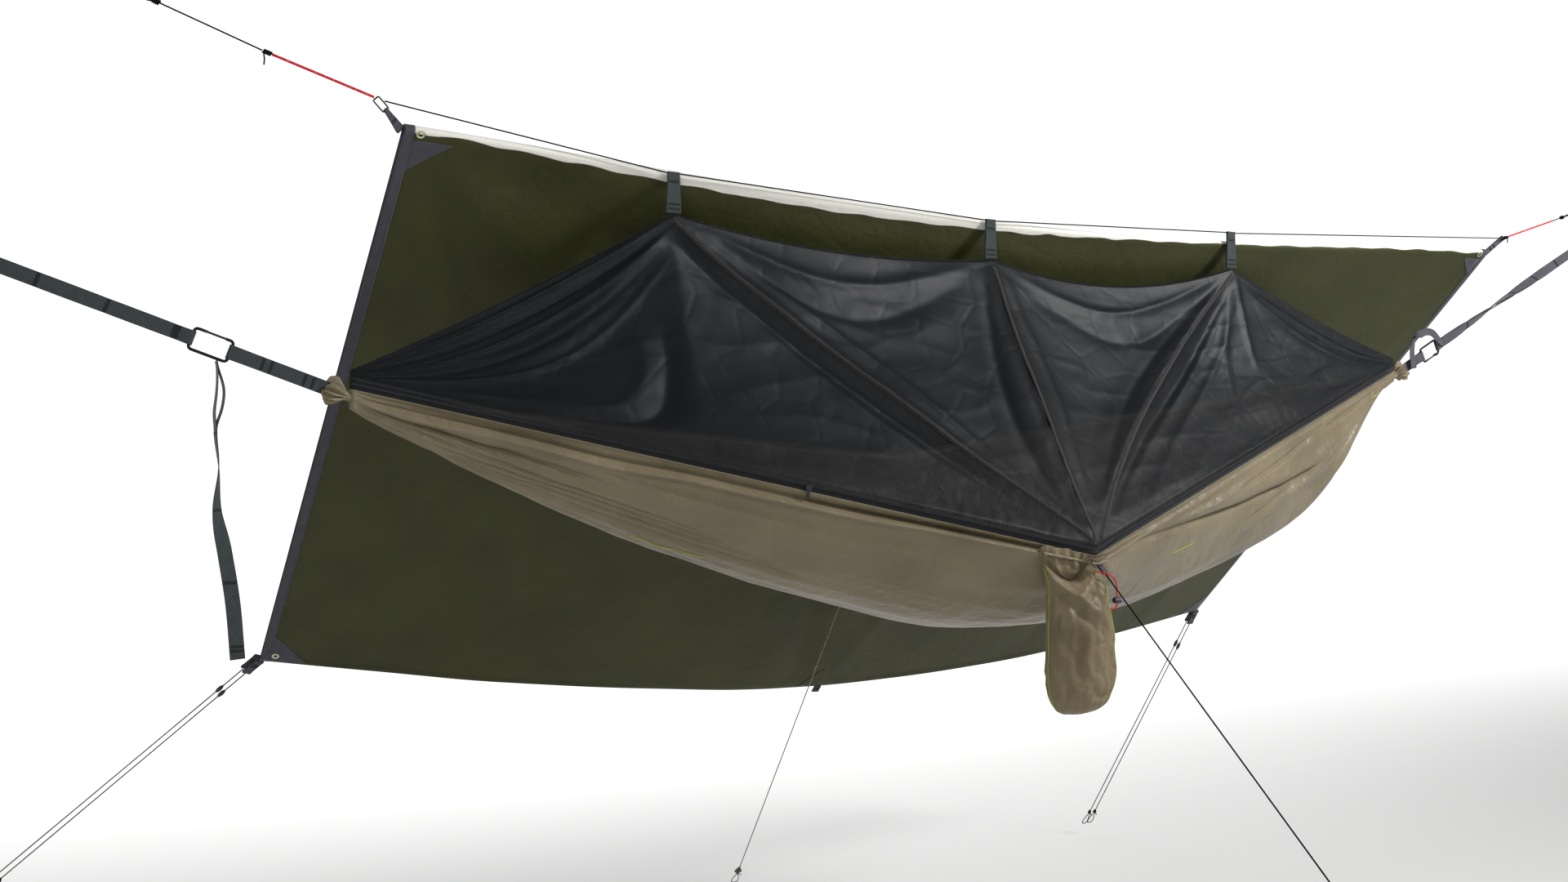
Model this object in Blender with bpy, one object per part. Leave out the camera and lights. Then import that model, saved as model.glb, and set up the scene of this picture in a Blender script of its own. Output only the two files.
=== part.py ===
"""Camping hammock with bug net and tarp, hung between two anchors.

Metres, +Z up. X runs along the hammock from the left anchor to the right one, +Y is the
tarp's side, and the origin is the middle of the left strap's sewn loop.
"""
import bpy
import math
from mathutils import Matrix, Vector

# Where the ends and the ridge are
LEFT_STRAP_RUN = 0.620
LEFT_STRAP_DROP = 0.220
SPAN = 2.756
END_RISE = 0.135
RIGHT_STRAP_RUN = 0.800
RIGHT_STRAP_RISE = 0.405
RIDGE_HEIGHT = 0.313
RIDGE_LEFT_SET = 0.075
RIDGE_RIGHT_SET = 0.447
LEFT_SHOCK_SLOPE = 0.300
LEFT_OUTER_SLOPE = 0.345
RIGHT_SHOCK_SLOPE = 0.311

# Bed
NEAR_REACH = 0.406
NEAR_DROP = 0.370
FAR_REACH = 0.320
FAR_DROP = 0.156
BED_CLOTH = 0.0016
BED_STEPS = 28
BED_ACROSS = 16
# Place along the span and how far the bed's lowest line hangs below the line of its ends
BED_SAG = ((0.0, 0.014), (0.02, 0.054), (0.05, 0.096), (0.15, 0.236), (0.27, 0.374),
           (0.36, 0.458), (0.44, 0.520), (0.52, 0.536), (0.60, 0.530), (0.70, 0.482),
           (0.80, 0.408), (0.85, 0.354), (0.90, 0.256), (0.94, 0.134), (0.97, 0.056), (1.0, 0.014))
BED_LOW_LINE = -0.060
FAR_BOW = 1.8
PLEATS = 3
PLEAT_DEPTH = 0.009
PLEAT_START = 0.120
PLEAT_REACH = 0.420

# Gathered ends
GATHER_LENGTH = 0.044
GATHER_NECK = 0.008
GATHER_PLEATS = 9
# Share of a gathered end's length, and its radius there over the neck's
GATHER_SHAPE = ((0.0, 1.0), (0.136, 1.05), (0.364, 1.75), (0.591, 2.25), (0.818, 2.1), (0.955, 1.75),
                (1.0, 1.35))
GATHER_SET = 0.017
LEFT_GATHER_SLANT = 0.0009
RIGHT_GATHER_SLANT = 0.0005
GATHER_RUFFLE = 0.14
RIM_SPREAD = 0.9
SLING_SPREAD = 0.0004
SLING_SOCKET = 0.022
SLING_FOOT = 0.003
LEFT_SLING_REACH = 0.196
RIGHT_SLING_REACH = 0.112

# Net
TAB_PLACES = (0.647, 1.424, 2.157)
TAB_DEFLECTIONS = (0.074, 0.102, 0.070)
TAB_LENGTHS = (0.081, 0.087, 0.089)
NET_SAGS = (0.010, 0.030, 0.052, 0.012)
NET_CLOTH = 0.0012
NET_END_RISE = 0.034
NET_HEM = 0.008
NET_HOLLOW = 0.030
NET_FULL_DROP = 0.450
NET_FOLD = 0.012
NET_FOLD_WIDTH = 0.075
NET_ROWS = (-1, -0.97, -0.84, -0.68, -0.52, -0.36, -0.2, 0, 0.2, 0.4, 0.6, 0.8, 0.97, 1)
TAB_FOOT_SPREAD = 1.3
TAB_SLACK = 0.0006
ZIP_HEIGHT = 0.014
ZIP_THICKNESS = 0.0020
SLIDER_SET = -0.558
SLIDER_SIZE = (0.012, 0.004, 0.009)
PULL_SIZE = (0.006, 0.0014, 0.022)
PULL_DROP = 0.010
PULL_LOOP_LENGTH = 0.030
PULL_LOOP_WIDTH = 0.010
PULL_LOOP_RADIUS = 0.0028
PULL_LOOP_DROP = 0.012

# Webbing
WEBBING_WIDTH = 0.025
WEBBING_THICKNESS = 0.0018
DAISY_START = 0.030
DAISY_PITCH = 0.110
DAISY_BULGE = 0.0016
TREE_LOOP_LENGTH = 0.075
TREE_LOOP_WIDTH = 0.034
TREE_LOOP_CROWN = 0.004
TREE_LOOP_SEAM = 0.012
STRAP_CLOSING = 0.020
TAIL_LENGTH = 0.512
TAIL_PLACE = 0.413
# The right strap's spare end, from the carabiner's rod: along the hammock, up, and out to the front
SHORT_TAIL_ROUTE = ((0.0, 0.014, 0.0084), (-0.030, 0.034, 0.009), (-0.066, 0.032, 0.009),
                    (-0.098, 0.010, 0.009), (-0.110, -0.022, 0.009), (-0.104, -0.066, 0.009))
SHORT_TAIL_SEAT = (0.022, 0.036)

# Carabiners
CARABINER_LENGTH = 0.072
CARABINER_ROD = 0.0056
CARABINER_CORNER = 0.0060
GATE_LENGTH = 0.036
GATE_ROD = 0.0042
GATE_PIN = 0.0016
GATE_PIN_SET = 0.003
GATE_NOSE = 0.0018
EAR_LENGTH = 0.0120
EAR_HEIGHT = 0.0044
EAR_THICKNESS = 0.0016

# Cords
RIDGE_CORD = 0.0026
SHOCK_CORD = 0.0050
RIGHT_SHOCK_CORD = 0.0045
GUY_CORD = 0.0022
DRAW_CORD = 0.0028
CORD_LOOP_LENGTH = 0.060
CORD_LOOP_WIDTH = 0.018
KNOT_RADIUS = 0.0052
KNOT_LENGTH = 0.016
SHOCK_LEFT_LENGTH = 0.185
SHOCK_RIGHT_LENGTH = 0.215
OUTER_LEFT_LENGTH = 0.180
OUTER_RIGHT_LENGTH = 0.042
LINK_LENGTH = 0.030
LINK_CORNER = 0.0024
LINK_SLOPE = -1.03
LINK_WIRE = 0.0032

# Tarp
TARP_RIDGE = 3.030
TARP_LEFT_SET = 0.114
TARP_BACK = 0.018
TARP_ROLL = 0.009
TARP_TOP_DROP = 0.034
TARP_TOP_SAG = 0.066
TARP_SAG_POWER = 1.4
TARP_CLOTH = 0.0014
TARP_REACH = 1.050
TARP_LOW = -0.800
TARP_LOW_SAG = 0.145
TARP_LOW_DRAW = 0.090
TARP_LEFT_SKEW = 0.082
TARP_RIGHT_SKEW = 0.104
TARP_LAYERS_APART = 0.012
TARP_STEPS = 18
TARP_ROWS = 10
TARP_FOLD = 0.014
TARP_FAN_FOLDS = 9.0
TARP_HANG_FOLDS = 4
TARP_BELLY = 0.020
ROLL_START_ANGLE = 205
ROLL_STEP_ANGLE = 42
ROLL_POINTS = 5
BINDING_WIDTH = 0.019
BINDING_THICKNESS = 0.0022
GROMMET_RADIUS = 0.0085
GROMMET_BORE = 0.0045
GROMMET_SET = 0.030
GROMMET_HEIGHT = 0.0016
CORNER_LOOP_LENGTH = 0.052
CORNER_LOOP_WIDTH = 0.020
CORNER_LOOP_RADIUS = 0.0030
# How far each corner loop stands off the tarp's corner: inner and outer layer
CORNER_LOOP_SETS = {"left": (-0.0006, 0.0012), "right": (-0.0003, 0.0025)}
CORNER_LOOP_STAGGER = 0.004
RIDGE_LOOP_RADIUS = 0.0035
RIDGE_LOOP_WIDTH = 0.013
RIDGE_LOOP_START = 0.008
RIDGE_LOOP_FOOT = 0.017
RIDGE_LOOP_LEAN = 0.19
RIGHT_LOOP_INSET = 0.0007
MID_LOOP_PLACE = 1.500
MID_LOOP_LENGTH = 0.018
MID_LOOP_RADIUS = 0.0025

# Guy lines, from what they hold to where their end loops start
LEFT_GUY_RUN = Vector((-0.554, 0.800, -0.647))
RIGHT_GUY_RUN = Vector((0.009, 0.547, -0.786))
FAR_GUY_RUN = Vector((0.207, 1.270, -1.317))
NEAR_GUY_RUN = Vector((0.0, -0.614, -0.544))
GUY_SPREAD = 0.012
FAR_GUY_DROP = 0.006
ADJUSTER_LENGTH = 0.027
ADJUSTER_RADIUS = 0.0052
ADJUSTER_SET = 0.085
FAR_ADJUSTER_SET = 0.028
TRIANGLE_SIDE = 0.024
TRIANGLE_TIP = 0.004
TRIANGLE_THICKNESS = 0.0060
CORD_CLEARANCE = 0.0004

# Stuff sack and its cord lock
SACK_WIDTH = 0.134
SACK_DEPTH = 0.062
SACK_LENGTH = 0.322
SACK_CLOTH = 0.0014
SACK_SET = -0.055
SACK_SEAM = 0.0004
SACK_MOUTH_DROP = 0.020
# Share of the sack's length, and of its width and depth there
SACK_SECTIONS = ((0.0, 0.60, 0.42), (0.06, 0.52, 0.30), (0.13, 0.66, 0.62), (0.25, 0.80, 0.86),
                 (0.45, 0.93, 0.98), (0.65, 1.0, 1.0), (0.80, 0.97, 0.98), (0.90, 0.84, 0.84),
                 (0.965, 0.58, 0.56), (0.995, 0.22, 0.22))
SACK_CHANNEL_STEPS = 2
DRAW_EXIT = 0.0012
DRAW_EXIT_ANGLE = 50
# Where the red drawcord runs from the sack's channel to its lock
DRAW_ROUTE = ((0.0, 0.0, 0.0), (0.004, -0.006, 0.0), (0.011, -0.012, -0.002), (0.024, -0.015, -0.006),
              (0.037, -0.013, -0.014), (0.045, -0.009, -0.024), (0.048, -0.007, -0.036),
              (0.048, -0.007, -0.050))
LOCK_RADIUS = 0.0062
LOCK_LENGTH = 0.016
LOCK_WALL = 0.0016
BUTTON_RADIUS = 0.0040
BUTTON_BALL = 0.0055
BUTTON_SEAT = 0.006
BUTTON_LENGTH = 0.018
SPRING_WIRE = 0.0006
SPRING_TURNS = 4

# Gap between touching pieces
GAP = 0.0003
LINK_WIDTH = RIDGE_LOOP_START + 2 * (LINK_CORNER + GAP) + LINK_WIRE

UP = Vector((0.0, 0.0, 1.0))
ALONG = Vector((1.0, 0.0, 0.0))
ACROSS = Vector((0.0, 1.0, 0.0))
LEFT_END = Vector((LEFT_STRAP_RUN, 0.0, -LEFT_STRAP_DROP))
RIGHT_END = LEFT_END + Vector((SPAN, 0.0, END_RISE))
RIGHT_ANCHOR = RIGHT_END + Vector((RIGHT_STRAP_RUN, 0.0, RIGHT_STRAP_RISE))
MID_X = (LEFT_END.x + RIGHT_END.x) / 2
BED_START = LEFT_END.x + GATHER_SET + LEFT_GATHER_SLANT
BED_FINISH = RIGHT_END.x - GATHER_SET - RIGHT_GATHER_SLANT
RIDGE_LEFT = Vector((LEFT_END.x + RIDGE_LEFT_SET, 0.0, RIDGE_HEIGHT))
RIDGE_RIGHT = Vector((RIGHT_END.x + RIDGE_RIGHT_SET, 0.0, RIDGE_HEIGHT))

FINISHES = {
    "khaki": ("#8A7C63", 0.55, 0.0),
    "net": ("#202328", 0.70, 0.0),
    "tarp": ("#3D402A", 0.50, 0.0),
    "binding": ("#45434A", 0.80, 0.0),
    "webbing": ("#353A3B", 0.80, 0.0),
    "pale_webbing": ("#45464C", 0.80, 0.0),
    "black_metal": ("#17181A", 0.35, 1.0),
    "black_plastic": ("#1A1B1D", 0.45, 0.0),
    "grey_plastic": ("#7C8392", 0.40, 0.0),
    "brass": ("#D9D9B0", 0.35, 1.0),
    "steel": ("#9EA2A6", 0.35, 1.0),
    "black_cord": ("#1F2120", 0.75, 0.0),
    "olive_cord": ("#5C604A", 0.75, 0.0),
    "red_cord": ("#C4212F", 0.65, 0.0),
}


def clear_scene():
    for item in list(bpy.data.objects):
        bpy.data.objects.remove(item, do_unlink=True)


def linear(hex_colour):
    channels = [int(hex_colour[i:i + 2], 16) / 255 for i in (1, 3, 5)]
    return [c / 12.92 if c <= 0.04045 else ((c + 0.055) / 1.055) ** 2.4 for c in channels]


def material(name, finish):
    colour, roughness, metallic = FINISHES[finish]
    made = bpy.data.materials.new(name + "_" + finish)
    made.use_nodes = True
    shader = made.node_tree.nodes["Principled BSDF"]
    shader.inputs["Base Color"].default_value = (*linear(colour), 1.0)
    shader.inputs["Roughness"].default_value = roughness
    shader.inputs["Metallic"].default_value = metallic
    return made


def solid(name, points, faces, finish, origin=None, smooth=True):
    """One named object from points in world places, with its origin where its joint is."""
    start = Vector(origin) if origin is not None else Vector((0.0, 0.0, 0.0))
    mesh = bpy.data.meshes.new(name)
    mesh.from_pydata([Vector(p) - start for p in points], [], faces)
    mesh.validate()
    made = bpy.data.objects.new(name, mesh)
    made.location = start
    bpy.context.scene.collection.objects.link(made)
    mesh.materials.append(material(name, finish))
    turn_faces_out(mesh)
    if smooth:
        mesh.shade_smooth()
        mesh.set_sharp_from_angle(angle=math.radians(40))
    return made


def turn_faces_out(mesh):
    """Flips the faces if the closed surface holds a negative volume."""
    mesh.calc_loop_triangles()
    base = mesh.vertices[0].co
    volume = 0.0
    for triangle in mesh.loop_triangles:
        a, b, c = (mesh.vertices[i].co - base for i in triangle.vertices)
        volume += a.dot(b.cross(c))
    if volume < 0.0:
        mesh.flip_normals()


def interpolate(table, place):
    """A smooth value between the pairs of a table, level at its joints' mean slope."""
    places = [pair[0] for pair in table]
    values = [pair[1] for pair in table]
    last = len(table) - 1
    place = min(max(place, places[0]), places[-1])
    i = max(k for k in range(last) if places[k] <= place)

    def slope(k):
        low, high = max(k - 1, 0), min(k + 1, last)
        return (values[high] - values[low]) / (places[high] - places[low])

    run = places[i + 1] - places[i]
    s = (place - places[i]) / run
    return ((2 * s**3 - 3 * s**2 + 1) * values[i] + (s**3 - 2 * s**2 + s) * run * slope(i)
            + (3 * s**2 - 2 * s**3) * values[i + 1] + (s**3 - s**2) * run * slope(i + 1))


def cloth(name, rows, thickness, finish, origin=None):
    """A closed thin sheet: a grid of points thickened to both sides along its normals."""
    count, width = len(rows), len(rows[0])
    front, back = [], []
    for i in range(count):
        for j in range(width):
            along = rows[min(i + 1, count - 1)][j] - rows[max(i - 1, 0)][j]
            over = rows[i][min(j + 1, width - 1)] - rows[i][max(j - 1, 0)]
            normal = along.cross(over).normalized()
            front.append(rows[i][j] + normal * thickness / 2)
            back.append(rows[i][j] - normal * thickness / 2)
    offset = len(front)
    faces = []
    for i in range(count - 1):
        for j in range(width - 1):
            a, b = i * width + j, i * width + j + 1
            c, d = (i + 1) * width + j + 1, (i + 1) * width + j
            # both sides fold along the same diagonal, so a bent sheet never meets itself
            for first, second, third in ((a, b, c), (a, c, d)):
                faces.append((first, second, third))
                faces.append((offset + third, offset + second, offset + first))
    rim = [(0, j) for j in range(width - 1)] + [(i, width - 1) for i in range(count - 1)]
    rim += [(count - 1, j) for j in range(width - 1, 0, -1)] + [(i, 0) for i in range(count - 1, 0, -1)]
    for k, (i, j) in enumerate(rim):
        next_i, next_j = rim[(k + 1) % len(rim)]
        a, b = i * width + j, next_i * width + next_j
        faces.append((b, a, offset + a, offset + b))
    return solid(name, front + back, faces, finish, origin)


def band(name, path, sides, widths, thickness, finish, closed=False, origin=None):
    """Flat webbing swept along a path, with its width along the sides given."""
    count = len(path)
    points, faces = [], []
    for i, point in enumerate(path):
        before = path[(i - 1) % count] if closed or i > 0 else point
        after = path[(i + 1) % count] if closed or i < count - 1 else point
        along = (after - before).normalized()
        side = (sides[i] - along * sides[i].dot(along)).normalized()
        normal = along.cross(side)
        half = side * widths[i] / 2
        depth = normal * thickness / 2
        points += [point - half - depth, point + half - depth, point + half + depth, point - half + depth]
    for i in range(count if closed else count - 1):
        here, there = 4 * i, 4 * ((i + 1) % count)
        # the two flat faces fold along the same diagonal, so a twisted band keeps its thickness
        faces += [(here, here + 1, there), (here + 1, there + 1, there)]
        faces += [(here + 2, here + 3, there + 3), (here + 2, there + 3, there + 2)]
        faces += [(here + 1, here + 2, there + 2, there + 1), (here + 3, here, there, there + 3)]
    if not closed:
        end = 4 * (count - 1)
        faces += [(3, 2, 1, 0), (end, end + 1, end + 2, end + 3)]
    return solid(name, points, faces, finish, origin)


def loop_path(start, finish, normal, start_radius, finish_radius, waist, turns=6):
    """Points of a webbing loop round two bars, drawn in to a waist between them."""
    along = (finish - start).normalized()
    path = []
    for k in range(turns + 1):
        angle = math.pi * (0.5 + k / turns)
        path.append(start + (along * math.cos(angle) + normal * math.sin(angle)) * start_radius)
    run = (finish - start).length
    for share in (0.3, 0.5, 0.7):
        path.append(start + along * run * share - normal * waist)
    for k in range(turns + 1):
        angle = math.pi * (-0.5 + k / turns)
        path.append(finish + (along * math.cos(angle) + normal * math.sin(angle)) * finish_radius)
    for share in (0.7, 0.5, 0.3):
        path.append(start + along * run * share + normal * waist)
    return path


def webbing_loop(name, start, finish, normal, start_radius, finish_radius, width, finish_name,
                 waist=None, start_width=None):
    """A closed loop of webbing: the radii are those of its middle line round each end."""
    waist = waist if waist is not None else (start_radius + finish_radius) / 2
    along = (finish - start).normalized()
    path = loop_path(start, finish, normal, start_radius, finish_radius, waist)
    side = along.cross(normal)
    narrow = start_width if start_width is not None else width
    run = (finish - start).length
    widths = []
    for point in path:
        share = min(max((point - start).dot(along) / run, 0.0), 1.0)
        widths.append(narrow + (width - narrow) * share)
    return band(name, path, [side] * len(path), widths, WEBBING_THICKNESS, finish_name, closed=True)


def cord(name, points, diameter, finish, resolution=2, origin=None):
    """A round cord through the points, with filled ends."""
    start = Vector(origin) if origin is not None else Vector((0.0, 0.0, 0.0))
    data = bpy.data.curves.new(name, "CURVE")
    data.dimensions = "3D"
    data.bevel_depth = diameter / 2
    data.bevel_resolution = resolution
    data.use_fill_caps = True
    spline = data.splines.new("POLY")
    spline.points.add(len(points) - 1)
    for slot, point in zip(spline.points, points):
        slot.co = (*(point - start), 1.0)
    data.materials.append(material(name, finish))
    made = bpy.data.objects.new(name, data)
    made.location = start
    bpy.context.scene.collection.objects.link(made)
    return made


def bent_rod(name, path, diameter, finish, sides=8, closed=False):
    """A round rod bent in an upright plane along the hammock."""
    count = len(path)
    points, faces = [], []
    for i, point in enumerate(path):
        before = path[(i - 1) % count] if closed or i > 0 else point
        after = path[(i + 1) % count] if closed or i < count - 1 else point
        along = (after - before).normalized()
        out = along.cross(ACROSS).normalized()
        for k in range(sides):
            angle = 2 * math.pi * k / sides
            points.append(point + (out * math.cos(angle) + ACROSS * math.sin(angle)) * diameter / 2)
    for i in range(count if closed else count - 1):
        here, there = sides * i, sides * ((i + 1) % count)
        for k in range(sides):
            n = (k + 1) % sides
            faces.append((here + k, there + k, there + n, here + n))
    if not closed:
        end = sides * (count - 1)
        faces.append(list(range(sides)))
        faces.append([end + sides - 1 - k for k in range(sides)])
    return solid(name, points, faces, finish)


def straight(start, finish, steps):
    return [start.lerp(finish, k / steps) for k in range(steps + 1)]


def end_loop(anchor, along, side, length=CORD_LOOP_LENGTH, width=CORD_LOOP_WIDTH, steps=14):
    """A teardrop loop at a cord's end, which stops just short of where it began."""
    points = []
    last = 0.955
    for k in range(1, steps + 1):
        turn = last * k / steps
        reach = math.sin(math.pi * turn) ** 0.8
        sway = math.sin(2 * math.pi * turn)
        points.append(anchor + along * length * reach + side * width * 0.62 * sway)
    return points


def square_to(along):
    side = along.cross(UP)
    if side.length < 0.1:
        side = along.cross(ACROSS)
    side.normalize()
    return side, side.cross(along).normalized()


def turned(name, profile, base, along, finish, segments=12, flat=1.0, origin=None, ruffle=None):
    """A turned solid: (distance, radius) pairs from one end of its axis to the other."""
    along = along.normalized()
    side, lift = square_to(along)
    points, rings = [], []
    for distance, radius in profile:
        if radius == 0.0:
            rings.append([len(points)])
            points.append(base + along * distance)
            continue
        ring = []
        for k in range(segments):
            angle = 2 * math.pi * k / segments
            size = radius if ruffle is None else radius * ruffle(distance, k)
            ring.append(len(points))
            points.append(base + along * distance + side * size * math.cos(angle)
                          + lift * size * flat * math.sin(angle))
        rings.append(ring)
    faces = []
    for a, b in zip(rings, rings[1:]):
        for k in range(segments):
            n = (k + 1) % segments
            if len(a) == 1:
                faces.append((a[0], b[k], b[n]))
            elif len(b) == 1:
                faces.append((a[k], b[0], a[n]))
            else:
                faces.append((a[k], b[k], b[n], a[n]))
    return solid(name, points, faces, finish, origin)


def turned_ring(name, profile, base, along, finish, segments=12, flat=1.0, origin=None):
    """A turned solid with an open bore: its closed outline never meets the axis."""
    along = along.normalized()
    side, lift = square_to(along)
    points, faces = [], []
    count = len(profile)
    for k in range(segments):
        angle = 2 * math.pi * k / segments
        for distance, radius in profile:
            points.append(base + along * distance + side * radius * math.cos(angle)
                          + lift * radius * flat * math.sin(angle))
    for k in range(segments):
        n = (k + 1) % segments
        for i in range(count):
            j = (i + 1) % count
            faces.append((k * count + i, n * count + i, n * count + j, k * count + j))
    return solid(name, points, faces, finish, origin)


def box_between(name, centre, axes, sizes, finish, origin=None):
    x, y, z = (axis.normalized() for axis in axes)
    points = []
    for i in (-0.5, 0.5):
        for j in (-0.5, 0.5):
            for k in (-0.5, 0.5):
                points.append(centre + x * sizes[0] * i + y * sizes[1] * j + z * sizes[2] * k)
    faces = [(0, 1, 3, 2), (4, 6, 7, 5), (0, 4, 5, 1), (2, 3, 7, 6), (0, 2, 6, 4), (1, 5, 7, 3)]
    return solid(name, points, faces, finish, origin, smooth=False)


def cut(target, cutter, operation="DIFFERENCE"):
    cutter.hide_render = True
    cutter.display_type = "WIRE"
    step = target.modifiers.new("cut_" + cutter.name, "BOOLEAN")
    step.operation = operation
    step.object = cutter
    step.solver = "EXACT"


# Shapes that several pieces share

def end_line(x):
    """Height of the straight line between the two gathered ends."""
    share = (x - LEFT_END.x) / SPAN
    return LEFT_END.z + END_RISE * share


def toward_middle(x):
    return 1.0 - abs(x - MID_X) / (MID_X - BED_START)


def near_rim(x):
    """The bed's near edge: two straight runs that meet at the near pull-out."""
    share = toward_middle(x)
    spread = GATHER_NECK * RIM_SPREAD
    y = -(spread + (NEAR_REACH - spread) * share)
    z = end_line(x) + spread - (NEAR_DROP + spread) * share
    return Vector((x, y, z))


def bed_wall(edge, drop):
    """A point of the bed's side wall at the pull-outs: edge is 0 for the near rim and 1 for the far one."""
    rim = bed_point(MID_X, edge)
    below = bed_point(MID_X, edge + (1 - 2 * edge) / BED_ACROSS)
    return rim.lerp(below, drop / (rim.z - below.z))


def far_rim(x):
    """The bed's far edge, which hangs in a softer bow."""
    share = toward_middle(x)
    bow = 1.0 - (1.0 - share) ** FAR_BOW
    spread = GATHER_NECK * RIM_SPREAD
    y = spread + (FAR_REACH - spread) * bow
    z = end_line(x) + spread - (FAR_DROP + spread) * share
    return Vector((x, y, z))


def bed_point(x, across):
    """A point of the bed's cloth: 0 on the near edge, 1 on the far one."""
    near, far = near_rim(x), far_rim(x)
    share = (x - LEFT_END.x) / SPAN
    low_z = end_line(x) - interpolate(BED_SAG, share)
    low_y = BED_LOW_LINE * toward_middle(x)
    if across <= 0.5:
        angle = math.pi * across
        y = low_y + (near.y - low_y) * math.cos(angle)
        z = near.z + (low_z - near.z) * math.sin(angle)
        outward = Vector((0.0, -math.cos(angle), -math.sin(angle)))
    else:
        angle = math.pi * (across - 0.5)
        y = low_y + (far.y - low_y) * math.sin(angle)
        z = low_z + (far.z - low_z) * (1.0 - math.cos(angle))
        outward = Vector((0.0, math.sin(angle), -math.cos(angle)))
    from_end = min(x - BED_START, BED_FINISH - x)
    room = min(from_end / PLEAT_START, 1.0)
    swell = PLEAT_DEPTH * room * math.exp(-from_end / PLEAT_REACH)
    wave = math.sin(2 * math.pi * PLEATS * across) * math.sin(math.pi * across)
    return Vector((x, y, z)) + outward * swell * wave


def bed_places():
    """Even steps along the bed, with one beside the middle moved to each of the net's peaks."""
    places = [BED_START + (BED_FINISH - BED_START) * i / BED_STEPS for i in range(BED_STEPS + 1)]
    free = [i for i in range(1, BED_STEPS) if i != BED_STEPS // 2]
    for tab_place in TAB_PLACES:
        peak = LEFT_END.x + tab_place
        nearest = min(free, key=lambda i: abs(places[i] - peak))
        places[nearest] = peak
    return places


def ridge_line_points():
    """Corners of the ridge cord: level for a webbing's width where each tab hangs."""
    points = [RIDGE_LEFT]
    half = WEBBING_WIDTH / 2 + RIDGE_CORD / 2
    for place, drop in zip(TAB_PLACES, TAB_DEFLECTIONS):
        for shift in (-half, half):
            points.append(Vector((LEFT_END.x + place + shift, 0.0, RIDGE_HEIGHT - drop)))
    points.append(RIDGE_RIGHT)
    return points


def tab_top(k):
    return Vector((LEFT_END.x + TAB_PLACES[k], 0.0, RIDGE_HEIGHT - TAB_DEFLECTIONS[k]))


def net_peak(k):
    return tab_top(k) - UP * TAB_LENGTHS[k]


def net_ridge(x):
    """Height of the net's top line, which hangs in bows between its three peaks."""
    lift = NET_END_RISE
    corners = [Vector((BED_START, 0.0, near_rim(BED_START).z + lift))]
    corners += [net_peak(k) for k in range(3)]
    corners.append(Vector((BED_FINISH, 0.0, near_rim(BED_FINISH).z + lift)))
    for k in range(4):
        if x <= corners[k + 1].x or k == 3:
            share = (x - corners[k].x) / (corners[k + 1].x - corners[k].x)
            level = corners[k].z + (corners[k + 1].z - corners[k].z) * share
            return level - NET_SAGS[k] * 4 * share * (1 - share)


def net_fold(x, down):
    """How far the tight folds between the peaks and the pull-out stand out."""
    height = 0.0
    targets = (MID_X, MID_X, MID_X, BED_START, BED_FINISH)
    sources = [net_peak(0).x, net_peak(1).x, net_peak(2).x, net_peak(0).x, net_peak(2).x]
    for source, target in zip(sources, targets):
        centre = source + (target - source) * down
        away = (x - centre) / (NET_FOLD_WIDTH * (0.35 + 0.65 * math.sin(math.pi * down)))
        height += NET_FOLD * math.exp(-away * away) * math.sin(math.pi * down)
    return height


def net_point(x, across):
    """A point of the net: -1 on its near edge, 0 on its top line, 1 on its far edge."""
    rim = near_rim(x) if across < 0.0 else far_rim(x)
    edge = rim + UP * (ZIP_HEIGHT + 2 * GAP if across < 0.0 else GAP)
    if abs(across) == 1:
        return edge
    edge = edge + UP * NET_HEM
    top = Vector((x, 0.0, net_ridge(x)))
    down = min(abs(across) / NET_ROWS[-2], 1.0)
    point = top.lerp(edge, down)
    drop = edge - top
    outward = Vector((0.0, drop.z, -drop.y)).normalized()
    if outward.y * rim.y < 0.0:
        outward = -outward
    room = min(drop.length / NET_FULL_DROP, 1.0)
    hollow = NET_HOLLOW * 4 * down * (1 - down)
    return point + outward * room * (net_fold(x, down) - hollow)


def tarp_top(x):
    share = (x - tarp_left()) / TARP_RIDGE
    return RIDGE_HEIGHT - TARP_TOP_DROP - TARP_TOP_SAG * (4 * share * (1 - share)) ** TARP_SAG_POWER


def tarp_left():
    return LEFT_END.x + TARP_LEFT_SET


def tarp_fold(along, down):
    """Soft folds that fan out of the upper left corner and hang from the upper edge."""
    fan = math.sin(TARP_FAN_FOLDS * math.atan2(along * 1.7, down + 0.12)) * math.exp(-1.6 * along)
    hang = math.sin(2 * math.pi * TARP_HANG_FOLDS * along) * (1.0 - down) * along
    edge = math.sin(math.pi * along) ** 0.5 * math.sin(math.pi * down)
    return TARP_FOLD * edge * (fan + 0.5 * hang)


def tarp_point(along, down, layer):
    """A point of the hanging tarp: layer 0 is the inner half and layer 1 the outer half."""
    x_top = tarp_left() + TARP_RIDGE * along
    top = Vector((x_top, TARP_BACK, tarp_top(x_top) - TARP_ROLL))
    bow = math.sin(math.pi * along)
    skew = TARP_LEFT_SKEW + (TARP_RIGHT_SKEW - TARP_LEFT_SKEW) * along
    low = Vector((x_top - skew, TARP_REACH - TARP_LOW_DRAW * bow, TARP_LOW - TARP_LOW_SAG * bow))
    drop = low - top
    outward = Vector((0.0, -drop.z, drop.y)).normalized()
    apart = TARP_ROLL + (TARP_LAYERS_APART / 2 - TARP_ROLL) * down
    side = -apart if layer == 0 else apart
    belly = -TARP_BELLY * math.sin(math.pi * down) * bow
    return top.lerp(low, down) + outward * (side + belly + tarp_fold(along, down))


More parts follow.
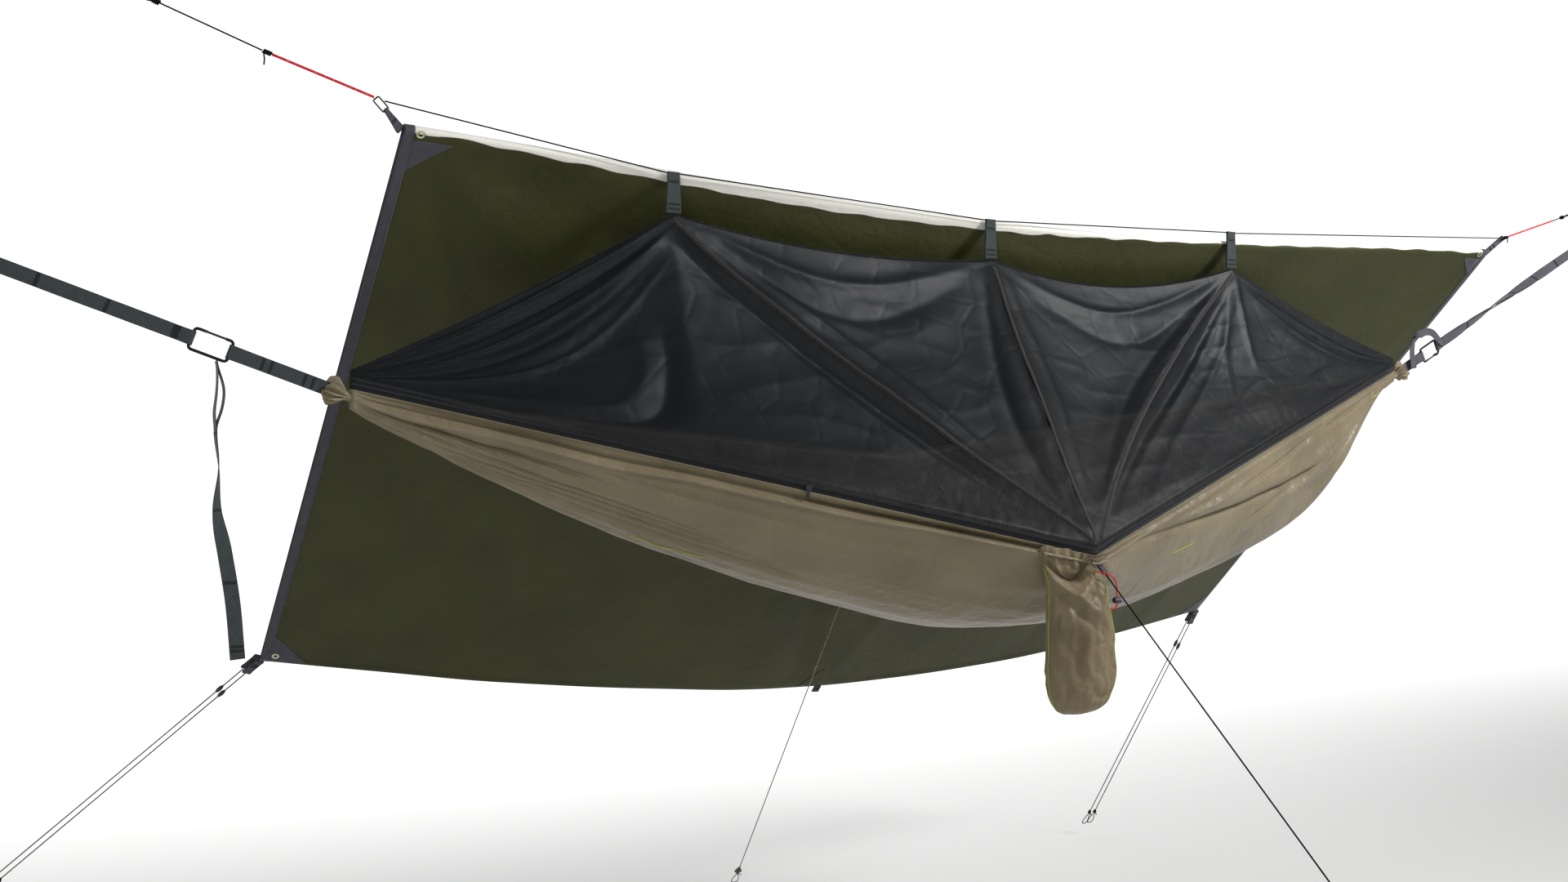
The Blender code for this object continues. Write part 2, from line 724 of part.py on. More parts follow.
def tarp_column(along):
    """One line across the whole tarp: up the inner half, over the fold, down the outer half."""
    downs = [(k / TARP_ROWS) ** 1.15 for k in range(1, TARP_ROWS + 1)]
    inner = [tarp_point(along, down, 0) for down in reversed(downs)]
    outer = [tarp_point(along, down, 1) for down in downs]
    x = tarp_left() + TARP_RIDGE * along
    centre = Vector((x, TARP_BACK, tarp_top(x) - TARP_ROLL))
    roll = []
    for k in range(ROLL_POINTS):
        angle = math.radians(ROLL_START_ANGLE - ROLL_STEP_ANGLE * k)
        roll.append(centre + Vector((0.0, math.cos(angle), math.sin(angle))) * TARP_ROLL)
    return inner + roll + outer


# Suspension

def strap_offsets(run, rod_radius):
    """(distance, half gap) pairs along a double strap, from the carabiner to its sewn eye."""
    close = WEBBING_THICKNESS / 2 + GAP
    pairs = [(CARABINER_ROD * 0.7, rod_radius), (STRAP_CLOSING, close)]
    finish = run - TREE_LOOP_LENGTH - STRAP_CLOSING
    place = DAISY_START
    while place + DAISY_PITCH < finish:
        pairs += [(place, close), (place + DAISY_PITCH * 0.3, close + DAISY_BULGE),
                  (place + DAISY_PITCH * 0.7, close + DAISY_BULGE)]
        place += DAISY_PITCH
    pairs += [(finish, close), (finish + TREE_LOOP_SEAM, close)]
    eye = TREE_LOOP_WIDTH / 2
    for share, opening in ((0.16, 0.35), (0.34, 0.78), (0.55, 0.98), (0.8, 1.0)):
        distance = finish + TREE_LOOP_SEAM + TREE_LOOP_LENGTH * share
        pairs.append((distance, close + (eye - close) * opening))
    return pairs


def double_strap(name, rod, eye_end, twist, finish):
    """A daisy-chain strap: two layers from a carabiner's rod to the flat end of a sewn eye."""
    run = (eye_end - rod).length
    along = (eye_end - rod).normalized()
    radius = CARABINER_ROD / 2 + GAP + WEBBING_THICKNESS / 2
    pairs = strap_offsets(run, radius)
    upright = along.cross(ACROSS).normalized()

    def frame_at(distance):
        share = (distance - 2 * STRAP_CLOSING) / (run - 2 * TREE_LOOP_LENGTH)
        angle = twist * min(max(share, 0.0), 1.0)
        turn = Matrix.Rotation(angle, 3, along)
        return turn @ ACROSS, turn @ upright

    path, sides = [], []
    for k in range(7):
        angle = math.pi * (0.5 + k / 6)
        normal, side = frame_at(0.0)
        path.append(rod + along * radius * math.cos(angle) + normal * radius * math.sin(angle))
        sides.append(side)
    for distance, half in pairs:
        normal, side = frame_at(distance)
        path.append(rod + along * distance - normal * half)
        sides.append(side)
    normal, side = frame_at(run)
    eye = TREE_LOOP_WIDTH / 2
    for spread in (-0.72, -0.2, 0.2, 0.72):
        reach = run if abs(spread) > 0.5 else run + TREE_LOOP_CROWN
        path.append(rod + along * reach + normal * eye * spread)
        sides.append(side)
    for distance, half in reversed(pairs):
        normal, side = frame_at(distance)
        path.append(rod + along * distance + normal * half)
        sides.append(side)
    return band(name, path, sides, [WEBBING_WIDTH] * len(path), WEBBING_THICKNESS, finish, closed=True)


def tail_top():
    """Where the left strap's spare end hangs, under the lower side of its carabiner."""
    line = LEFT_END.z / LEFT_END.x
    below = (carabiner_half_width() + CARABINER_ROD / 2) * math.sqrt(1 + line ** 2)
    return Vector((TAIL_PLACE, 0.0, line * TAIL_PLACE - below - 2 * GAP))


def strap_tail(name, top, finish):
    """The strap's spare end: it hangs edge-on, then turns its face to the front."""
    sway = ((0.0, 0.0), (0.10, 0.007), (0.23, 0.0), (0.36, 0.006), (0.50, 0.004), (0.64, 0.017),
            (0.81, 0.031), (1.0, 0.040))
    turn = ((0.0, 1.0), (0.3, 1.0), (0.5, 0.55), (0.62, 0.12), (1.0, 0.0))
    steps = 18
    path, sides = [], []
    for k in range(steps + 1):
        share = k / steps
        path.append(top + Vector((interpolate(sway, share), 0.0, -TAIL_LENGTH * share)))
        angle = math.pi / 2 * interpolate(turn, share)
        sides.append(Vector((math.cos(angle), math.sin(angle), 0.0)))
    widths = [WEBBING_WIDTH] * (steps + 1)
    return band(name, path, sides, widths, WEBBING_THICKNESS, finish, origin=top)


def short_tail(name, rod, outward, finish):
    """The right strap's spare end: from the strap's face it lies back over the carabiner and hangs."""
    seat = ACROSS * (1.5 * WEBBING_THICKNESS + 3 * GAP)
    path = [rod + outward * distance - seat for distance in reversed(SHORT_TAIL_SEAT)]
    path += [rod + Vector((x, -out, z)) for x, z, out in SHORT_TAIL_ROUTE]
    upright = outward.cross(-ACROSS)
    sides = [upright, upright, Vector((-0.3, 0.0, 1.0)), Vector((0.1, 0.0, 1.0)), Vector((0.4, 0.2, 1.0)),
             Vector((1.0, 0.3, 0.6)), Vector((1.0, 0.2, 0.1)), Vector((1.0, 0.1, 0.0))]
    widths = [WEBBING_WIDTH * share for share in (0.8, 0.8, 0.8, 0.8, 0.8, 0.85, 0.95, 1.0)]
    return band(name, path, sides, widths, WEBBING_THICKNESS, finish)


def carabiner_half_width():
    """From a carabiner's middle line to the middle of its long sides, wide enough for webbing."""
    return WEBBING_WIDTH / 2 + CARABINER_CORNER + GAP


def carabiner(side_name, centre, along):
    """A carabiner's bent rod, its gate on one long side and the gate's pin."""
    upright = ACROSS.cross(along).normalized()
    half_long = (CARABINER_LENGTH - CARABINER_ROD) / 2
    half_wide = carabiner_half_width()
    corner = CARABINER_CORNER
    corners = [(half_long, half_wide, 0), (half_long, -half_wide, 1), (-half_long, -half_wide, 2),
               (-half_long, half_wide, 3)]
    path = [centre + along * (GATE_LENGTH / 2 + GAP) + upright * half_wide]
    for x, y, quarter in corners:
        cx, cy = x - math.copysign(corner, x), y - math.copysign(corner, y)
        for k in range(5):
            angle = math.pi / 2 * (1 - quarter - k / 4)
            path.append(centre + along * (cx + corner * math.cos(angle))
                        + upright * (cy + corner * math.sin(angle)))
    path.append(centre - along * (GATE_LENGTH / 2 + GAP) + upright * half_wide)
    body = bent_rod(side_name + "_carabiner", path, CARABINER_ROD, "black_metal", sides=10)

    hinge = centre + along * (GATE_LENGTH / 2 - GATE_PIN_SET) + upright * half_wide
    gate_start = centre + along * GATE_LENGTH / 2 + upright * half_wide
    tip = GATE_ROD / 2
    gate = turned(side_name + "_gate",
                  [(0.0, 0.0), (0.0, tip * 0.45), (GATE_NOSE * 0.45, tip * 0.85), (GATE_NOSE, tip),
                   (GATE_LENGTH - 0.0006, tip), (GATE_LENGTH, tip * 0.8), (GATE_LENGTH, 0.0)],
                  gate_start, -along, "black_metal", segments=10, origin=hinge)
    bore_radius = GATE_PIN / 2 + GAP
    bore_profile = [(-CARABINER_ROD, 0.0), (-CARABINER_ROD, bore_radius), (CARABINER_ROD, bore_radius),
                    (CARABINER_ROD, 0.0)]
    bore = turned("cutter_" + side_name + "_gate", bore_profile, hinge, ACROSS, "steel", 8)
    cut(gate, bore)
    ear_gap = GATE_ROD / 2 + GAP
    for name_part, sign in (("front", -1), ("back", 1)):
        ear_centre = hinge + along * GATE_PIN_SET + ACROSS * sign * (ear_gap + EAR_THICKNESS / 2)
        ear = box_between("cutter_" + side_name + "_ear_" + name_part, ear_centre,
                          (along, ACROSS, upright), (EAR_LENGTH, EAR_THICKNESS, EAR_HEIGHT), "black_metal")
        cut(body, ear, "UNION")
    ear_bore = turned("cutter_" + side_name + "_ears", bore_profile, hinge, ACROSS, "steel", 8)
    cut(body, ear_bore)
    pin_half = ear_gap + EAR_THICKNESS
    turned(side_name + "_gate_pin",
           [(0.0, 0.0), (0.0, GATE_PIN / 2), (2 * pin_half, GATE_PIN / 2), (2 * pin_half, 0.0)],
           hinge - ACROSS * pin_half, ACROSS, "steel", segments=8)


def gathered_end(name, neck, outward, socket):
    """The bunched channel at a bed's end: a pleated knob with a slot for the sling."""
    shape = [(share * GATHER_LENGTH, wide * GATHER_NECK) for share, wide in GATHER_SHAPE]
    profile = [(0.0, 0.0)] + shape + [(GATHER_LENGTH, 0.0)]
    count = 2 * GATHER_PLEATS

    def ruffle(distance, k):
        depth = GATHER_RUFFLE * min(distance / (GATHER_LENGTH / 2), 1.0)
        return 1.0 + (depth if k % 2 == 0 else -depth)

    knob = turned(name, profile, neck, outward, "khaki", segments=count, ruffle=ruffle)
    side = outward.cross(ACROSS).normalized()
    sling_half = 1.5 * WEBBING_THICKNESS + SLING_SPREAD
    slot = box_between("cutter_" + name, neck + outward * GATHER_LENGTH, (outward, ACROSS, side),
                       (2 * socket, 2 * (sling_half + GAP), WEBBING_WIDTH + 2 * GAP), "khaki")
    cut(knob, slot)


def suspension(side_name, end, anchor, sling_reach, twist, webbing):
    """Everything between a gathered end and its anchor, from the bed outwards."""
    outward = (anchor - end).normalized()
    gathered_end(side_name + "_gathered_end", end - outward * GATHER_SET, outward, SLING_SOCKET)
    sling_foot = end + outward * (GATHER_LENGTH - GATHER_SET - SLING_SOCKET + GAP + SLING_FOOT)
    rod = end + outward * sling_reach
    radius = CARABINER_ROD / 2 + GAP + WEBBING_THICKNESS / 2
    close = WEBBING_THICKNESS / 2 + 2 * GAP
    webbing_loop(side_name + "_end_sling", sling_foot, rod, ACROSS, close, radius, WEBBING_WIDTH, webbing,
                 waist=close)
    centre = rod + outward * (CARABINER_LENGTH - CARABINER_ROD) / 2
    carabiner(side_name, centre, outward)
    far_rod = rod + outward * (CARABINER_LENGTH - CARABINER_ROD)
    double_strap(side_name + "_tree_strap", far_rod, anchor + outward * TREE_LOOP_LENGTH / 2, twist, webbing)
    return far_rod


# Ridge

def knot(name, centre, along, finish):
    """A barrel knot with flat ends, which the cords meet."""
    half = KNOT_LENGTH / 2
    profile = [(-half, 0.0), (-half, KNOT_RADIUS * 0.62), (-half * 0.6, KNOT_RADIUS),
               (0.0, KNOT_RADIUS * 0.88), (half * 0.6, KNOT_RADIUS), (half, KNOT_RADIUS * 0.62), (half, 0.0)]
    return turned(name, profile, centre, along, finish, segments=10)


def ridge_link(name, centre, along):
    """A closed oval link of bent wire."""
    upright = along.cross(ACROSS).normalized()
    half_long = (LINK_LENGTH - LINK_WIRE) / 2
    half_wide = (LINK_WIDTH - LINK_WIRE) / 2
    corner = LINK_CORNER
    path = []
    for sx, sy, quarter in ((1, 1, 0), (-1, 1, 1), (-1, -1, 2), (1, -1, 3)):
        cx, cy = sx * (half_long - corner), sy * (half_wide - corner)
        for k in range(4):
            angle = math.pi / 2 * (quarter + k / 3)
            path.append(centre + along * (cx + corner * math.cos(angle))
                        + upright * (cy + corner * math.sin(angle)))
    return bent_rod(name, path, LINK_WIRE, "black_metal", closed=True)


def right_knot_centre():
    out_right = Vector((1.0, 0.0, RIGHT_SHOCK_SLOPE)).normalized()
    return RIDGE_RIGHT + out_right * (KNOT_LENGTH / 2 + 2 * GAP)


def ridge():
    out_left = Vector((-1.0, 0.0, LEFT_SHOCK_SLOPE)).normalized()
    on_left = Vector((-1.0, 0.0, LEFT_OUTER_SLOPE)).normalized()
    out_right = Vector((1.0, 0.0, RIGHT_SHOCK_SLOPE)).normalized()

    link_along = Vector((1.0, 0.0, LINK_SLOPE)).normalized()
    link_side = link_along.cross(ACROSS)
    cord_reach = LINK_WIDTH / 2 + GAP + RIDGE_CORD * 0.35
    link_centre = RIDGE_LEFT - link_side * cord_reach
    ridge_link("left_ridge_link", link_centre, link_along)
    link_tip = link_centre - link_along * (LINK_LENGTH / 2 + GAP)

    shock_start = link_tip + out_left * SHOCK_CORD * 0.3
    shock_end = shock_start + out_left * SHOCK_LEFT_LENGTH
    cord("left_shock_cord", straight(shock_start, shock_end, 14), SHOCK_CORD, "red_cord", 3)
    knot_centre = shock_end + out_left * (KNOT_LENGTH / 2 + GAP)
    knot("left_ridge_knot", knot_centre, out_left, "black_cord")
    outer_start = knot_centre + out_left * KNOT_LENGTH / 2 + on_left * 2 * GAP
    outer_end = outer_start + on_left * OUTER_LEFT_LENGTH
    path = straight(outer_start, outer_end, 10) + end_loop(outer_end, on_left, ACROSS)
    cord("left_outer_cord", path, RIDGE_CORD, "black_cord")

    corners = ridge_line_points()
    points = [corners[0]]
    for a, b in zip(corners, corners[1:]):
        steps = max(1, round((b - a).length / 0.10))
        points += straight(a, b, steps)[1:]
    right_knot = right_knot_centre()
    cord("ridge_cord", points, RIDGE_CORD, "black_cord")
    knot("right_ridge_knot", right_knot, out_right, "black_cord")
    shock_start = right_knot + out_right * (KNOT_LENGTH / 2 + GAP)
    shock_end = shock_start + out_right * SHOCK_RIGHT_LENGTH
    cord("right_shock_cord", straight(shock_start, shock_end, 14), RIGHT_SHOCK_CORD, "red_cord", 3)
    outer_start = shock_end + out_right * GAP
    outer_end = outer_start + out_right * OUTER_RIGHT_LENGTH
    path = straight(outer_start, outer_end, 6) + end_loop(outer_end, out_right, ACROSS)
    cord("right_outer_cord", path, RIDGE_CORD, "black_cord")
    return link_centre, link_along


# Bed, net and what is sewn to them

def bed():
    rows = [[bed_point(x, k / BED_ACROSS) for k in range(BED_ACROSS + 1)] for x in bed_places()]
    cloth("bed", rows, BED_CLOTH, "khaki", origin=LEFT_END)


def net():
    rows = [[net_point(x, across) for across in NET_ROWS] for x in bed_places()]
    cloth("net", rows, NET_CLOTH, "net", origin=LEFT_END)


def zip_tape():
    rows = []
    for x in bed_places():
        low = near_rim(x) + UP * GAP
        rows.append([low, low + UP * ZIP_HEIGHT])
    cloth("zip_tape", rows, ZIP_THICKNESS, "net", origin=LEFT_END)


def rim_direction():
    """Unit direction along the near edge from the pull-out to the left end."""
    return (near_rim(BED_START) - near_rim(MID_X)).normalized()


def zip_slider():
    along = rim_direction()
    outward = along.cross(UP).normalized()
    if outward.y > 0.0:
        outward = -outward
    lift = outward.cross(along).normalized()
    if lift.z < 0.0:
        lift = -lift
    seat = near_rim(MID_X + SLIDER_SET) + UP * (GAP + ZIP_HEIGHT / 2) + outward * (ZIP_THICKNESS / 2 + GAP)
    body = box_between("zip_slider", seat + outward * SLIDER_SIZE[1] / 2, (along, outward, lift), SLIDER_SIZE,
                       "black_metal", origin=seat)
    pull = box_between("cutter_zip_pull", seat + outward * SLIDER_SIZE[1] * 0.75 - lift * PULL_DROP,
                       (along, outward, lift), PULL_SIZE, "black_metal")
    cut(body, pull, "UNION")


def ridge_tabs():
    radius = RIDGE_CORD / 2 + GAP + WEBBING_THICKNESS / 2
    foot_radius = WEBBING_THICKNESS / 2 + TAB_SLACK
    for k in range(len(TAB_PLACES)):
        top = tab_top(k)
        foot = net_peak(k) + UP * (NET_CLOTH / 2 + GAP + WEBBING_THICKNESS / 2 + foot_radius)
        webbing_loop(f"net_tab_{k + 1}", foot, top, ACROSS, foot_radius, radius, WEBBING_WIDTH, "webbing",
                     waist=foot_radius, start_width=WEBBING_WIDTH * TAB_FOOT_SPREAD)


def pull_out_loop():
    """A short loop of webbing at the point where the near edge is pulled out."""
    outward = NEAR_GUY_RUN.normalized()
    radius = PULL_LOOP_RADIUS
    seat = BED_CLOTH / 2 + GAP + WEBBING_THICKNESS / 2 + radius
    foot = bed_wall(0, PULL_LOOP_DROP) - ACROSS * seat
    tip = foot + outward * PULL_LOOP_LENGTH
    normal = outward.cross(ALONG).normalized()
    webbing_loop("near_pull_out_loop", foot, tip, normal, radius, radius, PULL_LOOP_WIDTH, "binding")
    return tip + outward * (radius + WEBBING_THICKNESS / 2 + GAP)


def sack_top():
    """Middle of the stuff sack's sewn edge, on the near edge of the bed."""
    x = MID_X + SACK_SET
    return near_rim(x) - ACROSS * (ZIP_THICKNESS / 2 + SACK_SEAM - SACK_CLOTH / 2)


def sack():
    """The stuff sack: an open shell, drawn in at its mouth, with a round foot."""
    hinge = sack_top()
    rim = -rim_direction()
    slope = rim.z / rim.x
    turn = rim.y / rim.x
    segments = 16
    count = len(SACK_SECTIONS)
    mouth_end = SACK_SECTIONS[SACK_CHANNEL_STEPS][0]

    def ring(share, wide, deep, inset):
        half_wide = SACK_WIDTH / 2 * wide - inset
        half_deep = SACK_DEPTH / 2 * deep - inset
        depth = SACK_LENGTH * share + (0.0 if share < 0.5 else -inset)
        points = []
        for k in range(segments):
            angle = 2 * math.pi * k / segments
            x = half_wide * math.cos(angle)
            y = -SACK_DEPTH / 2 * deep + half_deep * math.sin(angle)
            front = (1 - math.sin(angle)) / 2
            mouth = max(0.0, 1 - share / mouth_end)
            z = -depth - SACK_MOUTH_DROP * front * mouth + slope * x * mouth
            points.append(hinge + Vector((x, y - SACK_CLOTH / 2 + turn * x, z)))
        return points

    points, faces = [], []
    for share, wide, deep in SACK_SECTIONS:
        points += ring(share, wide, deep, 0.0)
    inner = len(points)
    for share, wide, deep in SACK_SECTIONS:
        points += ring(share, wide, deep, SACK_CLOTH)
    for i in range(count - 1):
        for k in range(segments):
            n = (k + 1) % segments
            a, b = i * segments, (i + 1) * segments
            faces.append((a + k, a + n, b + n, b + k))
            faces.append((inner + a + k, inner + b + k, inner + b + n, inner + a + n))
    for k in range(segments):
        n = (k + 1) % segments
        faces.append((k, inner + k, inner + n, n))
    last = (count - 1) * segments
    faces.append([last + k for k in range(segments)])
    faces.append([inner + last + segments - 1 - k for k in range(segments)])
    solid("stuff_sack", points, faces, "khaki", origin=hinge)
    return hinge


def cord_lock():
    """The red drawcord with its spring lock: a barrel, a ball-ended button and a spring."""
    hinge = sack_top()
    side_low, side_wide, side_deep = SACK_SECTIONS[SACK_CHANNEL_STEPS]
    rim = rim_direction()
    facing = math.radians(DRAW_EXIT_ANGLE)
    reach = SACK_WIDTH / 2 * side_wide * math.cos(facing)
    depth = SACK_DEPTH / 2 * side_deep * (1 + math.sin(facing)) + SACK_CLOTH / 2
    exit_point = hinge + Vector((reach, reach * rim.y / rim.x - depth - DRAW_EXIT, -SACK_LENGTH * side_low))
    points = [exit_point + Vector(step) for step in DRAW_ROUTE]
    low = points[-1]
    cord("drawcord", points, DRAW_CORD, "red_cord", origin=hinge)
    along = ALONG
    centre = low - UP * (LOCK_RADIUS + GAP)
    start = centre - along * LOCK_LENGTH / 2
    bore = BUTTON_RADIUS + GAP
    wall = LOCK_WALL
    turned("cord_lock_body", [(0.0, 0.0), (0.0, LOCK_RADIUS * 0.8), (0.0015, LOCK_RADIUS),
                              (LOCK_LENGTH - 0.001, LOCK_RADIUS), (LOCK_LENGTH, LOCK_RADIUS * 0.9),
                              (LOCK_LENGTH, bore), (wall, bore), (wall, 0.0)],
           start, along, "black_plastic", segments=14)
    button_start = start + along * (LOCK_LENGTH - BUTTON_SEAT)
    ball = BUTTON_LENGTH - BUTTON_BALL
    turned("cord_lock_button", [(0.0, 0.0), (0.0, BUTTON_RADIUS), (ball - BUTTON_BALL * 0.6, BUTTON_RADIUS),
                                (ball - BUTTON_BALL * 0.5, BUTTON_BALL * 0.8), (ball, BUTTON_BALL),
                                (ball + BUTTON_BALL * 0.6, BUTTON_BALL * 0.75), (BUTTON_LENGTH, 0.0)],
           button_start, along, "grey_plastic", segments=14, origin=button_start)
    spring_run = LOCK_LENGTH - BUTTON_SEAT - wall - 2 * GAP - SPRING_WIRE
    spring_radius = BUTTON_RADIUS - SPRING_WIRE
    coil = []
    steps = 10 * SPRING_TURNS
    for k in range(steps + 1):
        angle = 2 * math.pi * SPRING_TURNS * k / steps
        coil.append(start + along * (wall + GAP + SPRING_WIRE / 2 + spring_run * k / steps)
                    + ACROSS * spring_radius * math.cos(angle) + UP * spring_radius * math.sin(angle))
    cord("cord_lock_spring", coil, SPRING_WIRE, "steel", resolution=1)
    tail_top = centre - UP * (LOCK_RADIUS + GAP)
    tail = [tail_top, tail_top + Vector((-0.001, 0.0, -0.005)), tail_top + Vector((-0.006, 0.0, -0.009)),
            tail_top + Vector((-0.012, 0.0, -0.008)), tail_top + Vector((-0.017, 0.0, -0.010))]
    cord("drawcord_tail", tail, DRAW_CORD, "red_cord", origin=hinge)


# Tarp and guy lines

def tarp():
    start = BINDING_WIDTH / TARP_RIDGE
    columns = []
    for k in range(TARP_STEPS + 1):
        columns.append(tarp_column(start + (1 - 2 * start) * k / TARP_STEPS))
    cloth("tarp", columns, TARP_CLOTH, "tarp")
    gap = GAP / TARP_RIDGE
    for name, low, high in (("left_tarp_binding", 0.0, start - gap),
                            ("right_tarp_binding", 1 - start + gap, 1.0)):
        columns = [tarp_column(low), tarp_column((low + high) / 2), tarp_column(high)]
        cloth(name, columns, BINDING_THICKNESS, "binding")


def grommet(name, along, down, layer):
    """A ring set on the inner face of the tarp."""
    point = tarp_point(along, down, layer)
    step = 0.002
    normal = (tarp_point(along + step, down, layer) - point).cross(
        tarp_point(along, down + step, layer) - point).normalized()
    if normal.y > 0.0:
        normal = -normal
    seat = point + normal * (TARP_CLOTH / 2 + 2 * GAP)
    high = GROMMET_HEIGHT
    middle = (GROMMET_RADIUS + GROMMET_BORE) / 2
    profile = [(0.0, GROMMET_BORE), (0.0, GROMMET_RADIUS), (high * 0.6, GROMMET_RADIUS),
               (high, middle), (high * 0.6, GROMMET_BORE)]
    turned_ring(name, profile, seat, normal, "brass", segments=16)


def tarp_trim(link_centre, link_along):
    set_in = GROMMET_SET / TARP_RIDGE
    grommet("left_ridge_grommet", set_in, 0.0, 0)
    grommet("right_ridge_grommet", 1 - set_in, 0.0, 0)
    grommet("left_corner_grommet", set_in, 0.985, 0)

    radius = LINK_WIRE / 2 + GAP + WEBBING_THICKNESS / 2
    bar = link_centre + link_along * (LINK_LENGTH - LINK_WIRE) / 2
    corner = Vector((tarp_left(), TARP_BACK, tarp_top(tarp_left()) - TARP_ROLL))
    foot_radius = RIDGE_LOOP_RADIUS
    back = foot_radius + WEBBING_THICKNESS / 2 + GAP
    lean = link_along.cross(ACROSS).x * RIDGE_LOOP_FOOT * RIDGE_LOOP_LEAN
    foot = corner - Vector((back + lean, 0.0, 0.0))
    along = (foot - bar).normalized()
    normal = along.cross(link_along.cross(ACROSS)).normalized()
    webbing_loop("left_ridge_loop", bar, foot, normal, radius, foot_radius, RIDGE_LOOP_FOOT, "binding",
                 start_width=RIDGE_LOOP_START)

    right_x = tarp_left() + TARP_RIDGE
    corner = Vector((right_x, TARP_BACK, tarp_top(right_x) - TARP_ROLL))
    foot = corner + Vector((back - RIGHT_LOOP_INSET, 0.0, 0.0))
    tip_seat = KNOT_RADIUS + foot_radius + WEBBING_THICKNESS / 2 + GAP
    tip = right_knot_centre() + ACROSS * tip_seat
    along = (tip - foot).normalized()
    normal = along.cross(UP).normalized()
    webbing_loop("right_ridge_loop", foot, tip, normal, foot_radius, foot_radius, RIDGE_LOOP_WIDTH, "binding")


def guy_line(name, start, finish, diameter, finish_name, loop_side=None):
    along = (finish - start).normalized()
    side = loop_side if loop_side is not None else square_to(along)[0]
    points = straight(start, finish, 12) + end_loop(finish, along, side)
    cord(name, points, diameter, finish_name)
    return along


def adjuster(name, start, along, distance):
    """A line adjuster: a flattened barrel that the guy line runs through."""
    bore = GUY_CORD / 2 + CORD_CLEARANCE
    length = ADJUSTER_LENGTH
    profile = [(0.0, bore), (0.0, ADJUSTER_RADIUS * 0.55), (length * 0.25, ADJUSTER_RADIUS * 0.95),
               (length * 0.5, ADJUSTER_RADIUS), (length * 0.75, ADJUSTER_RADIUS * 0.95),
               (length, ADJUSTER_RADIUS * 0.55), (length, bore)]
    base = start + along * distance
    turned_ring(name, profile, base, along, "black_plastic", segments=12, origin=base)


def corner_guys():
    radius = CORNER_LOOP_RADIUS
    for side_name, along, run in (("left", 0.0, LEFT_GUY_RUN), ("right", 1.0, RIGHT_GUY_RUN)):
        middle = (tarp_point(along, 1.0, 0) + tarp_point(along, 1.0, 1)) / 2
        for layer, layer_name in enumerate(("inner", "outer")):
            corner = tarp_point(along, 1.0, layer)
            target = middle + run + ALONG * GUY_SPREAD * (1 - 2 * layer)
            out = (target - corner).normalized()
            stagger = UP * CORNER_LOOP_STAGGER * layer
            set_off = CORNER_LOOP_SETS[side_name][layer]
            foot = corner + out * (radius + WEBBING_THICKNESS + set_off) + stagger
            tip = foot + out * CORNER_LOOP_LENGTH
            normal = out.cross(ALONG).normalized()
            webbing_loop(f"{side_name}_corner_loop_{layer_name}", foot, tip, normal, radius, radius,
                         CORNER_LOOP_WIDTH, "binding")
            start = tip + out * (radius + WEBBING_THICKNESS / 2 + GAP)
            line = guy_line(f"{side_name}_guy_{layer_name}", start, target, GUY_CORD, "black_cord")
            adjuster(f"{side_name}_adjuster_{layer_name}", start, line, ADJUSTER_SET)


def mid_loop():
    along = MID_LOOP_PLACE / TARP_RIDGE
    low = tarp_point(along, 1.0, 0)
    out = (low - tarp_point(along, 0.95, 0)).normalized()
    radius = MID_LOOP_RADIUS
    foot = low + out * (radius + WEBBING_THICKNESS / 2 + 3 * GAP)
    normal = out.cross(ALONG).normalized()
    tip = foot + out * MID_LOOP_LENGTH
    webbing_loop("mid_loop", foot, tip, normal, radius, radius, CORNER_LOOP_WIDTH, "binding")


def pull_out_guys(near_start):
    near_end = near_rim(MID_X) + NEAR_GUY_RUN
    guy_line("near_pull_out_guy", near_start, near_end, GUY_CORD, "black_cord", ALONG)
    far_start = bed_wall(1, FAR_GUY_DROP) + ACROSS * (BED_CLOTH / 2 + GAP)
    far_end = far_rim(MID_X) + FAR_GUY_RUN
    out = (far_end - far_start).normalized()
    far_start = far_start + out * GUY_CORD / 2
    guy_line("far_pull_out_guy", far_start, far_end, GUY_CORD, "olive_cord")
    far_adjuster(far_end - out * FAR_ADJUSTER_SET, out)


def far_adjuster(base, out):
    """A flat three-sided line adjuster, bored through from its narrow end."""
    side, lift = square_to(out)
    half = TRIANGLE_SIDE / 2
    thick = TRIANGLE_THICKNESS / 2
    tip = TRIANGLE_TIP / 2
    outline = [(0.0, -tip), (0.0, tip), (TRIANGLE_SIDE, half), (TRIANGLE_SIDE, -half)]
    points = [base + out * d + side * w + lift * thick for d, w in outline]
    points += [base + out * d + side * w - lift * thick for d, w in outline]
    faces = [(0, 1, 2, 3), (7, 6, 5, 4), (0, 4, 5, 1), (1, 5, 6, 2), (2, 6, 7, 3), (3, 7, 4, 0)]
    plate = solid("far_adjuster", points, faces, "black_plastic", origin=base, smooth=False)
    bore_radius = GUY_CORD / 2 + CORD_CLEARANCE
    bore_profile = [(-half, 0.0), (-half, bore_radius), (2 * TRIANGLE_SIDE, bore_radius),
                    (2 * TRIANGLE_SIDE, 0.0)]
    cut(plate, turned("cutter_far_adjuster", bore_profile, base, out, "steel", segments=12))


